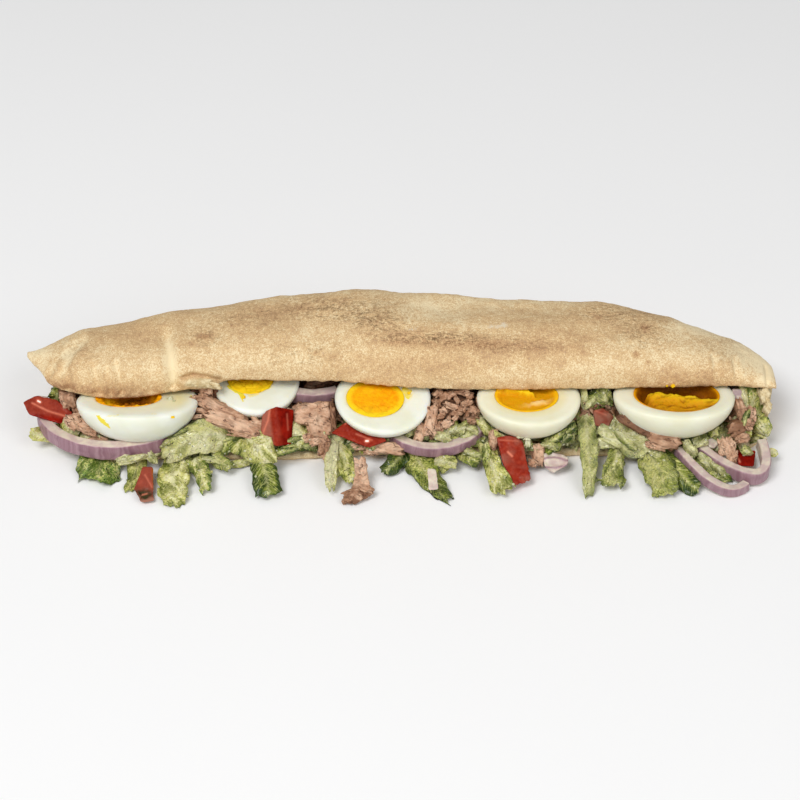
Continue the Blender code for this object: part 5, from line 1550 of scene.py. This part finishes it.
# Each scrap lies on what the photograph shows at its column and row: its length and width in
# pixels, its turn (0 runs to the right, 90 up), how far it stands off, ruffle and look.
SCRAPS = (
    (744, 396, 24, 8, 100, 0.6, 0.4, (0.15, 0.2, 0.3)), (758, 412, 22, 13, 60, 1.2, 1.2, (0.35, 0.5, 0.3)),
    (763, 426, 20, 17, 95, 1.2, 1.3, (0.25, 0.45, 0.3, 0.2)),
    (757, 437, 18, 11, 20, 1.4, 1.1, (0.3, 0.5, 0.2)),
    (746, 417, 15, 7, 70, 0.5, 0.8, (0.8, 0.9, 0.2)), (766, 402, 14, 9, 110, 0.5, 0.8, (0.2, 0.3, 0.2)),
    (746, 451, 13, 10, 140, 1.2, 1.1, (0.4, 0.7, 0.5)), (771, 452, 14, 8, -20, 0.3, 0.5, (0.1, 0.2, 0.2)),
    (707, 462, 24, 10, -45, 0.6, 0.9, (0.3, 0.4, 0.8)), (690, 449, 20, 12, -60, 0.8, 0.8, (0.25, 0.3, 0.8)),
    (720, 470, 22, 8, -40, 0.4, 0.8, (0.4, 0.5, 0.7)), (700, 443, 16, 9, 10, 0.6, 0.7, (0.2, 0.3, 0.9)),
    (598, 399, 30, 22, 10, 1.4, 0.9, (0.75, 0.85, 0.4)), (584, 397, 24, 9, 100, 2.6, 0.5, (0.25, 0.3, 0.7)),
    (604, 396, 20, 12, 120, 2.4, 1.0, (0.6, 0.8, 0.6)), (590, 403, 14, 9, 30, 2.6, 0.9, (0.5, 0.6, 0.8)),
    (610, 434, 26, 14, -30, 1.8, 0.7, (0.25, 0.35, 0.9)), (614, 440, 26, 12, -25, 1.2, 0.8, (0.2, 0.3, 0.9)),
    (626, 441, 30, 8, -40, 1.6, 0.7, (0.3, 0.5, 0.6, 0.3)), (606, 443, 24, 12, 0, 1.0, 0.8, (0.3, 0.3, 0.9)),
    (557, 437, 26, 10, 25, 1.2, 1.0, (0.75, 0.95, 0.1, 0.3)),
    (568, 431, 22, 10, 35, 1.2, 0.9, (0.85, 0.95, -0.1)),
    (550, 446, 18, 8, -10, 0.8, 0.9, (0.4, 0.6, 0.6)), (572, 446, 20, 11, 70, 1.0, 0.7, (0.3, 0.4, 0.8)),
    (236, 437, 26, 8, 12, 0.8, 1.2, (0.75, 0.9, 0.1)), (240, 463, 30, 9, 15, 0.6, 0.8, (0.3, 0.4, 0.3)),
    (214, 460, 22, 8, -8, 0.6, 0.9, (0.5, 0.5, 0.7)), (292, 440, 22, 6, 15, 0.8, 1.2, (0.85, 1.0, 0.0)),
    (283, 452, 30, 7, 14, 1.2, 0.6, (0.8, 0.9, 0.1)), (309, 447, 18, 7, -20, 0.8, 0.8, (0.9, 0.9, 0.1)),
    (455, 431, 20, 12, 15, 1.2, 0.9, (0.25, 0.35, 0.7)), (443, 437, 16, 10, -15, 1.0, 0.8, (0.3, 0.4, 0.8)),
    (466, 424, 16, 8, 30, 1.2, 1.0, (0.5, 0.7, 0.4)), (472, 430, 14, 7, -20, 1.0, 0.9, (0.3, 0.4, 0.6)),
    (487, 455, 22, 9, -80, 0.8, 1.0, (0.5, 0.7, 0.2)), (474, 455, 20, 9, -25, 0.6, 1.0, (0.6, 0.7, 0.5)),
    (166, 443, 16, 7, 30, 0.6, 1.0, (0.35, 0.4, 0.6)), (178, 433, 22, 5, 20, 0.8, 1.2, (0.8, 0.9, 0.2)),
    (152, 458, 14, 9, -60, 0.8, 0.9, (0.2, 0.3, 0.8)), (131, 458, 28, 6, 12, 0.8, 0.5, (0.05, 0.1, 0.6)),
    (57, 396, 16, 7, 80, 0.6, 0.9, (0.75, 0.9, 0.1)),
    (446, 462, 22, 13, -5, 0.8, 0.7, (0.2, 0.3, 0.5)),
    (655, 452, 24, 9, -30, 0.8, 0.8, (0.3, 0.4, 0.7)), (531, 447, 16, 8, -10, 0.5, 0.8, (0.5, 0.6, 0.7)),
    (564, 440, 20, 9, 40, 1.2, 0.9, (0.9, 1.05, -0.2)),
)


def out_at(column, row):
    """How far out of the front the pieces made so far reach where a pixel looks."""
    scene = bpy.context.scene
    packed = set(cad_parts.values())
    start = scene.camera.location.copy()
    aim = (at_pixel(column, row, PIXEL_OUT) + Vector((0, -FORWARD, 0))) * MM
    way = (aim - start).normalized()
    for _ in range(40):
        hit, where, _, _, thing, _ = scene.ray_cast(bpy.context.view_layer.depsgraph, start, way)
        if not hit:
            break
        if thing not in packed:
            where = where / MM + Vector((0, FORWARD, 0))
            return where.z * math.sin(LEAN) - where.y * math.cos(LEAN)
        start = where + way * 1e-5
    return PIXEL_OUT


def make_scraps():
    bpy.context.view_layer.update()
    rng = random.Random(21)
    parts = []
    for column, row, long, wide, turn, off, ruffle, look in SCRAPS:
        out = min(max(out_at(column, row), 8.0), 30.0) + off
        a = math.radians(turn)
        dx, dy = math.cos(a) * long / 2, -math.sin(a) * long / 2
        ends = [at_pixel(column - dx, row - dy, out - 1.2), at_pixel(column, row, out + 0.9),
                at_pixel(column + dx, row + dy, out - 0.3)]
        width = wide * PIXEL
        widths = (width * rng.uniform(0.6, 0.9), width, width * rng.uniform(0.5, 0.9))
        parts.append(leaf_mesh(rng, ends, widths, ruffle, look, 26, 14, 0.5))
    return serve(sheaf("lettuce_scraps", parts, LEAF), "lettuce")


# Torn, puffed crumb: placed like a torn piece of tuna.
CRUMB_BUMPS = (
    (192, 382, 17, 9, 5, 19.5, 8, 0), (202, 383, 20, 10, 6, 20.0, -4, 0), (213, 385, 14, 7, 5, 19.8, -14, 0),
    (764, 396, 10, 16, 7, 15.5, 10, 0), (767, 408, 8, 10, 6, 15.5, -10, 0),
)


def make_crumb_bumps():
    rng = random.Random(31)
    parts = []
    for entry in CRUMB_BUMPS:
        points, faces, _ = torn_piece(rng, entry)
        marks = {"crumb": 0.9, "brown": 0.0, "pale": 0.3}
        parts.append((points, faces, {key: np.full(len(points), much) for key, much in marks.items()}))
    serve(sheaf("bread_torn_crumb", parts, CRUST), "bread")


SHREDS = 74
SHREDS_LEFT, SHREDS_SPAN = -152, 308
BARE = ((-46, -21), (-8, 14), (102, 109))  # where the lower half's edge shows under the filling


def make_shreds():
    """Chopped lettuce that covers the lower half's edge, in front of the bed."""
    rng = random.Random(5)
    parts = []
    for k in range(SHREDS):
        x = SHREDS_LEFT + SHREDS_SPAN * (k + rng.uniform(0.1, 0.9)) / SHREDS
        bare = any(low < x < high for low, high in BARE)
        length = rng.uniform(8, 16)
        top = rng.uniform(3, 12)
        low = max(top - length * rng.uniform(0.6, 1.0), -1.5 if bare else -6.5)
        slant = rng.uniform(-0.8, 0.8) * length
        root = on_front(x - slant / 2, top, rng.uniform(11, 15))
        tip = on_front(x + slant / 2, low, rng.uniform(15.5, 19.5))
        middle = (root + tip) / 2 + on_front(0, 0, rng.uniform(1.0, 3.0))
        widths = (rng.uniform(4, 7), rng.uniform(5, 10), rng.uniform(3, 6))
        green = rng.uniform(0.1, 0.9)
        look = (green, green + rng.uniform(-0.1, 0.3), rng.uniform(0.1, 0.9))
        ruffle = rng.uniform(0.6, 1.3)
        parts.append(leaf_mesh(rng, (root, middle, tip), widths, ruffle, look, 26, 12, 0.6))
    return serve(sheaf("lettuce_shreds", parts, LEAF), "lettuce")


def make_bed(leaves):
    """The chopped lettuce under everything: a rough copy of the heap's own solid.

    Where it runs along in one of the single leaves it sinks behind it and looks like it.
    """
    piece = remeshed("lettuce", "lettuce_bed", LEAF, 1.25, 2)
    points, normals = points_of(piece), normals_of(piece)
    finder = kdtree.KDTree(len(leaves.data.vertices))
    for i, point in enumerate(points_of(leaves)):
        finder.insert(point, i)
    finder.balance()
    found = [finder.find(point) for point in points]
    nearest = np.array([index for _, index, _ in found])
    near = ease((4.5 - np.array([distance for _, _, distance in found])) / 2.0)
    fold = rough(points, 5, 1) + 0.7 * rough(points, 2.4, 2)
    sunk = points + normals * (0.5 * fold * (1 - 0.7 * near) - 0.9)[:, None]
    sunk += near[:, None] * np.array(on_front(0, 0, -1.4))
    sunk[:, 2] = np.maximum(sunk[:, 2], np.minimum(points[:, 2], TABLE))
    move_to(piece, sunk)
    vein = 0.5 * np.clip(1 - np.abs(rough(points, 4, 4)) * 9, 0, 1)
    green, sauce = 0.6 + 0.5 * rough(points, 6, 3), 0.4 + 0.5 * rough(points, 9, 5)
    # the fold mark, below 0 in the hollows, where the finish paints shade
    crisp, fold = np.full(len(points), 1.4), np.clip(1.2 * fold - 0.2, -1, 1)
    own = zip(LEAF_MARKS, (vein, points[:, 0], points[:, 2], crisp, green, sauce, fold))
    for key, values in own:
        share = np.round(near) if key in ("along", "across") else near
        set_marks(piece, **{key: values + (mark_of(leaves, key)[nearest] - values) * share})
    serve(piece, "lettuce", "lettuce")


leaves = make_leaves()
make_bed(leaves)
shreds = make_shreds()
scraps = make_scraps()
make_crumb_bumps()


# ---------------------------------------------------------------- scattered bits
def scatter_tree():
    """Puts copies of a small shape over a surface, where its mark named room allows."""
    floats = dict.fromkeys(("Density", "Smallest", "Largest"), "Float")
    r = Recipe("scatter", Shape="Object", **floats, Seed="Int", Finish="Material")
    room = r.step("GeometryNodeInputNamedAttribute", {"data_type": "FLOAT"}, {"Name": "room"})
    where = {"Mesh": r["Geometry"], "Density": r.times(room, r["Density"]), "Seed": r["Seed"]}
    dots = r.step("GeometryNodeDistributePointsOnFaces", {"distribute_method": "RANDOM"}, where)
    spin = {0: (-0.6, -0.6, 0.0), 1: (0.6, 0.6, 6.28), "Seed": r["Seed"]}
    spin = r.step("FunctionNodeRandomValue", {"data_type": "FLOAT_VECTOR"}, spin)
    spin = r.step("FunctionNodeEulerToRotation", {}, {0: spin})
    turn = {0: dots.node.outputs["Rotation"], 1: spin}
    turn = r.step("FunctionNodeRotateRotation", {"rotation_space": "LOCAL"}, turn)
    size = {2: r["Smallest"], 3: r["Largest"], "Seed": r["Seed"]}
    size = r.step("FunctionNodeRandomValue", {"data_type": "FLOAT"}, size, 1)
    bit = r.step("GeometryNodeObjectInfo", {}, {0: r["Shape"]}, "Geometry")
    bits = {"Points": dots, "Instance": bit, "Rotation": turn, "Scale": size}
    bits = r.step("GeometryNodeInstanceOnPoints", {}, bits)
    tone = r.step("FunctionNodeRandomValue", {"data_type": "FLOAT"}, {2: 0.0, 3: 1.0}, 1)
    return r.served(r.store(bits, "tone", tone, "INSTANCE"))


SCATTER = scatter_tree()


def small_shape(name, size, corners, seed):
    """A torn bit, size in millimetres: the hull of a few points round a lump."""
    rng = random.Random(seed)
    shell = bmesh.new()
    for k in range(corners):
        z = 1 - (2 * k + 1) / corners
        a = k * math.pi * (3 - math.sqrt(5))
        flat = math.sqrt(1 - z * z)
        p = Vector((flat * math.cos(a), flat * math.sin(a), z)) * rng.uniform(0.7, 1.1)
        shell.verts.new([c * s * MM / 2 for c, s in zip(p, size)])
    bmesh.ops.convex_hull(shell, input=shell.verts)
    loose = [v for v in shell.verts if not v.link_faces]
    bmesh.ops.delete(shell, geom=loose, context="VERTS")
    mesh = bpy.data.meshes.new(name)
    shell.to_mesh(mesh)
    shell.free()
    mesh.shade_smooth()
    return bpy.data.objects.new(name, mesh)


def fibre_shape(name, size, seed):
    """A torn flake of a few fibres side by side, its size in millimetres."""
    rng = random.Random(seed)
    rings, around = 5, 8
    points = []
    for i in range(rings):
        t = i / (rings - 1)
        full = (0.35 + 0.65 * math.sin(math.pi * (0.15 + 0.7 * t))) * rng.uniform(0.8, 1.1)
        bend = 0.25 * math.sin(3 * t + seed)
        for k in range(around):
            a = 2 * math.pi * k / around
            full_here = full * (1.0 if k % 2 else 0.72) * rng.uniform(0.9, 1.1)
            x = (t - 0.5) * size[0] + rng.uniform(-0.12, 0.12) * size[0] * (i in (0, rings - 1))
            y = size[1] * (0.5 * full_here * math.cos(a) + bend)
            points.append([x * MM, y * MM, size[2] * 0.5 * full_here * math.sin(a) * MM])
    mesh = bpy.data.meshes.new(name)
    mesh.from_pydata(points, [], tube_faces(rings, around))
    turn_outward(mesh)
    return bpy.data.objects.new(name, mesh)


def scatter(name, ground, bit, finish, density, sizes, seed, slot="lettuce", low=-22.0):
    """A piece of many copies of a bit, density to a square centimetre, on the parts of the
    ground that face the open front or up, between two heights of the front."""
    points, normals = points_of(ground), normals_of(ground)
    up = up_of(points)
    room = ease((normals @ FACING - 0.1) / 0.4) * (up > low) * (up < 30.0) * (out_of(points) > 9)
    piece = linked(name, ground.data.copy())
    set_marks(piece, room=room)
    spread = {"Density": density / CENTIMETRE**2, "Smallest": sizes[0], "Largest": sizes[1], "Seed": seed}
    grown_by(piece, SCATTER, Shape=bit, **spread, Finish=finish)
    serve(piece, slot)


def make_bits():
    flake = fibre_shape("flake", (6.0, 2.4, 1.3), 1)
    grain = small_shape("grain", (1.0, 0.9, 0.8), 10, 2)
    drop = small_shape("drop", (2.0, 1.6, 0.7), 26, 3)
    scatter("tuna_flakes", tuna, flake, TUNA, 5.0, (0.45, 1.3), 3, "tuna", -8)
    scatter("pepper_leaves", leaves, grain, PEPPER, 3.2, (0.35, 0.75), 4)
    scatter("dressing_drops", leaves, drop, SAUCE, 1.3, (0.35, 1.0), 5)
    scatter("dressing_shreds", shreds, drop, SAUCE, 2.5, (0.4, 1.1), 6)
    scatter("dressing_scraps", scraps, drop, SAUCE, 3.0, (0.35, 1.0), 7)
    scatter("pepper_scraps", scraps, grain, PEPPER, 3.5, (0.35, 0.75), 8)


make_bits()


# Drips and crumbs: the column and row of the middle, width and height in pixels, thickness in
# millimetres, and turn.
DRIPS = (
    (527, 438, 9, 5, 1.5, 0), (528, 443, 5, 9, 1.5, 3), (521, 437, 9, 3, 1.0, 0),
    (170, 399, 6, 5, 1.8, 20), (174, 401, 3, 3, 1.2, 0),
)
YOLK_CRUMBS = (
    (409, 393, 3, 3, 1.0, 0), (173, 417, 2.5, 2.5, 1.0, 0), (673, 386, 5, 3, 2.0, 20),
    (667, 386, 2, 1.5, 1.2, 0), (244, 397, 3, 4, 1.2, 0), (258, 391, 4, 3, 1.2, 0),
)


def laid_on(rng, entry, share):
    """A small lump laid on what the photograph shows under it, a share of itself out."""
    column, row, wide, high, deep, turn = entry
    out = out_at(column, row) + share * deep
    return torn_piece(rng, (column, row, wide, high, deep, out, turn, 0.5), 3)


def make_drips():
    """Drips of dressing and stray crumbs of yolk."""
    bpy.context.view_layer.update()
    rng = random.Random(41)
    drips, crumbs = [], []
    for entry in DRIPS:
        points, faces, marks = laid_on(rng, entry, 0.15)
        middle = points.mean(0)
        drips.append((middle + (points - middle) * 0.95, faces, marks))
    for entry in YOLK_CRUMBS:
        points, faces, _ = laid_on(rng, entry, 0.35)
        crumbs.append((points, faces, {"bright_and_lit": np.full(len(points), 0.7)}))
    serve(sheaf("dressing_drips", drips, SAUCE), "lettuce")
    serve(sheaf("yolk_crumbs", crumbs, YOLK), "egg_yolk")


make_drips()


# ---------------------------------------------------------------- table and light
LAMPS = {"window": ((-0.85, -1.15, 2.1), 1.1, 38.5), "fill": ((1.2, -1.3, 1.4), 1.4, 13.0)}
SKY = 0.32
TABLE_REACH = 3


def set_stage():
    reach = TABLE_REACH
    mesh = bpy.data.meshes.new("table")
    corners = [(-reach, -reach, 0), (reach, -reach, 0), (reach, reach, 0), (-reach, reach, 0)]
    mesh.from_pydata(corners, [], [(0, 1, 2, 3)])
    mesh.materials.append(TABLE_TOP)
    linked("table", mesh)
    world = bpy.data.worlds.new("soft room")
    bpy.context.scene.world = world
    world.use_nodes = True
    sky = world.node_tree.nodes["Background"]
    sky.inputs["Color"].default_value = (1.0, 1.0, 1.0, 1.0)
    sky.inputs["Strength"].default_value = SKY
    for name, (place, size, power) in LAMPS.items():
        light = bpy.data.lights.new(name, "AREA")
        light.size = size
        light.energy = power
        lamp = linked(name, light)
        lamp.location = place
        lamp.rotation_euler = (Vector((0, 0, 0.02)) - Vector(place)).to_track_quat("-Z", "Y").to_euler()
    bpy.context.scene.view_settings.view_transform = "Standard"


set_stage()
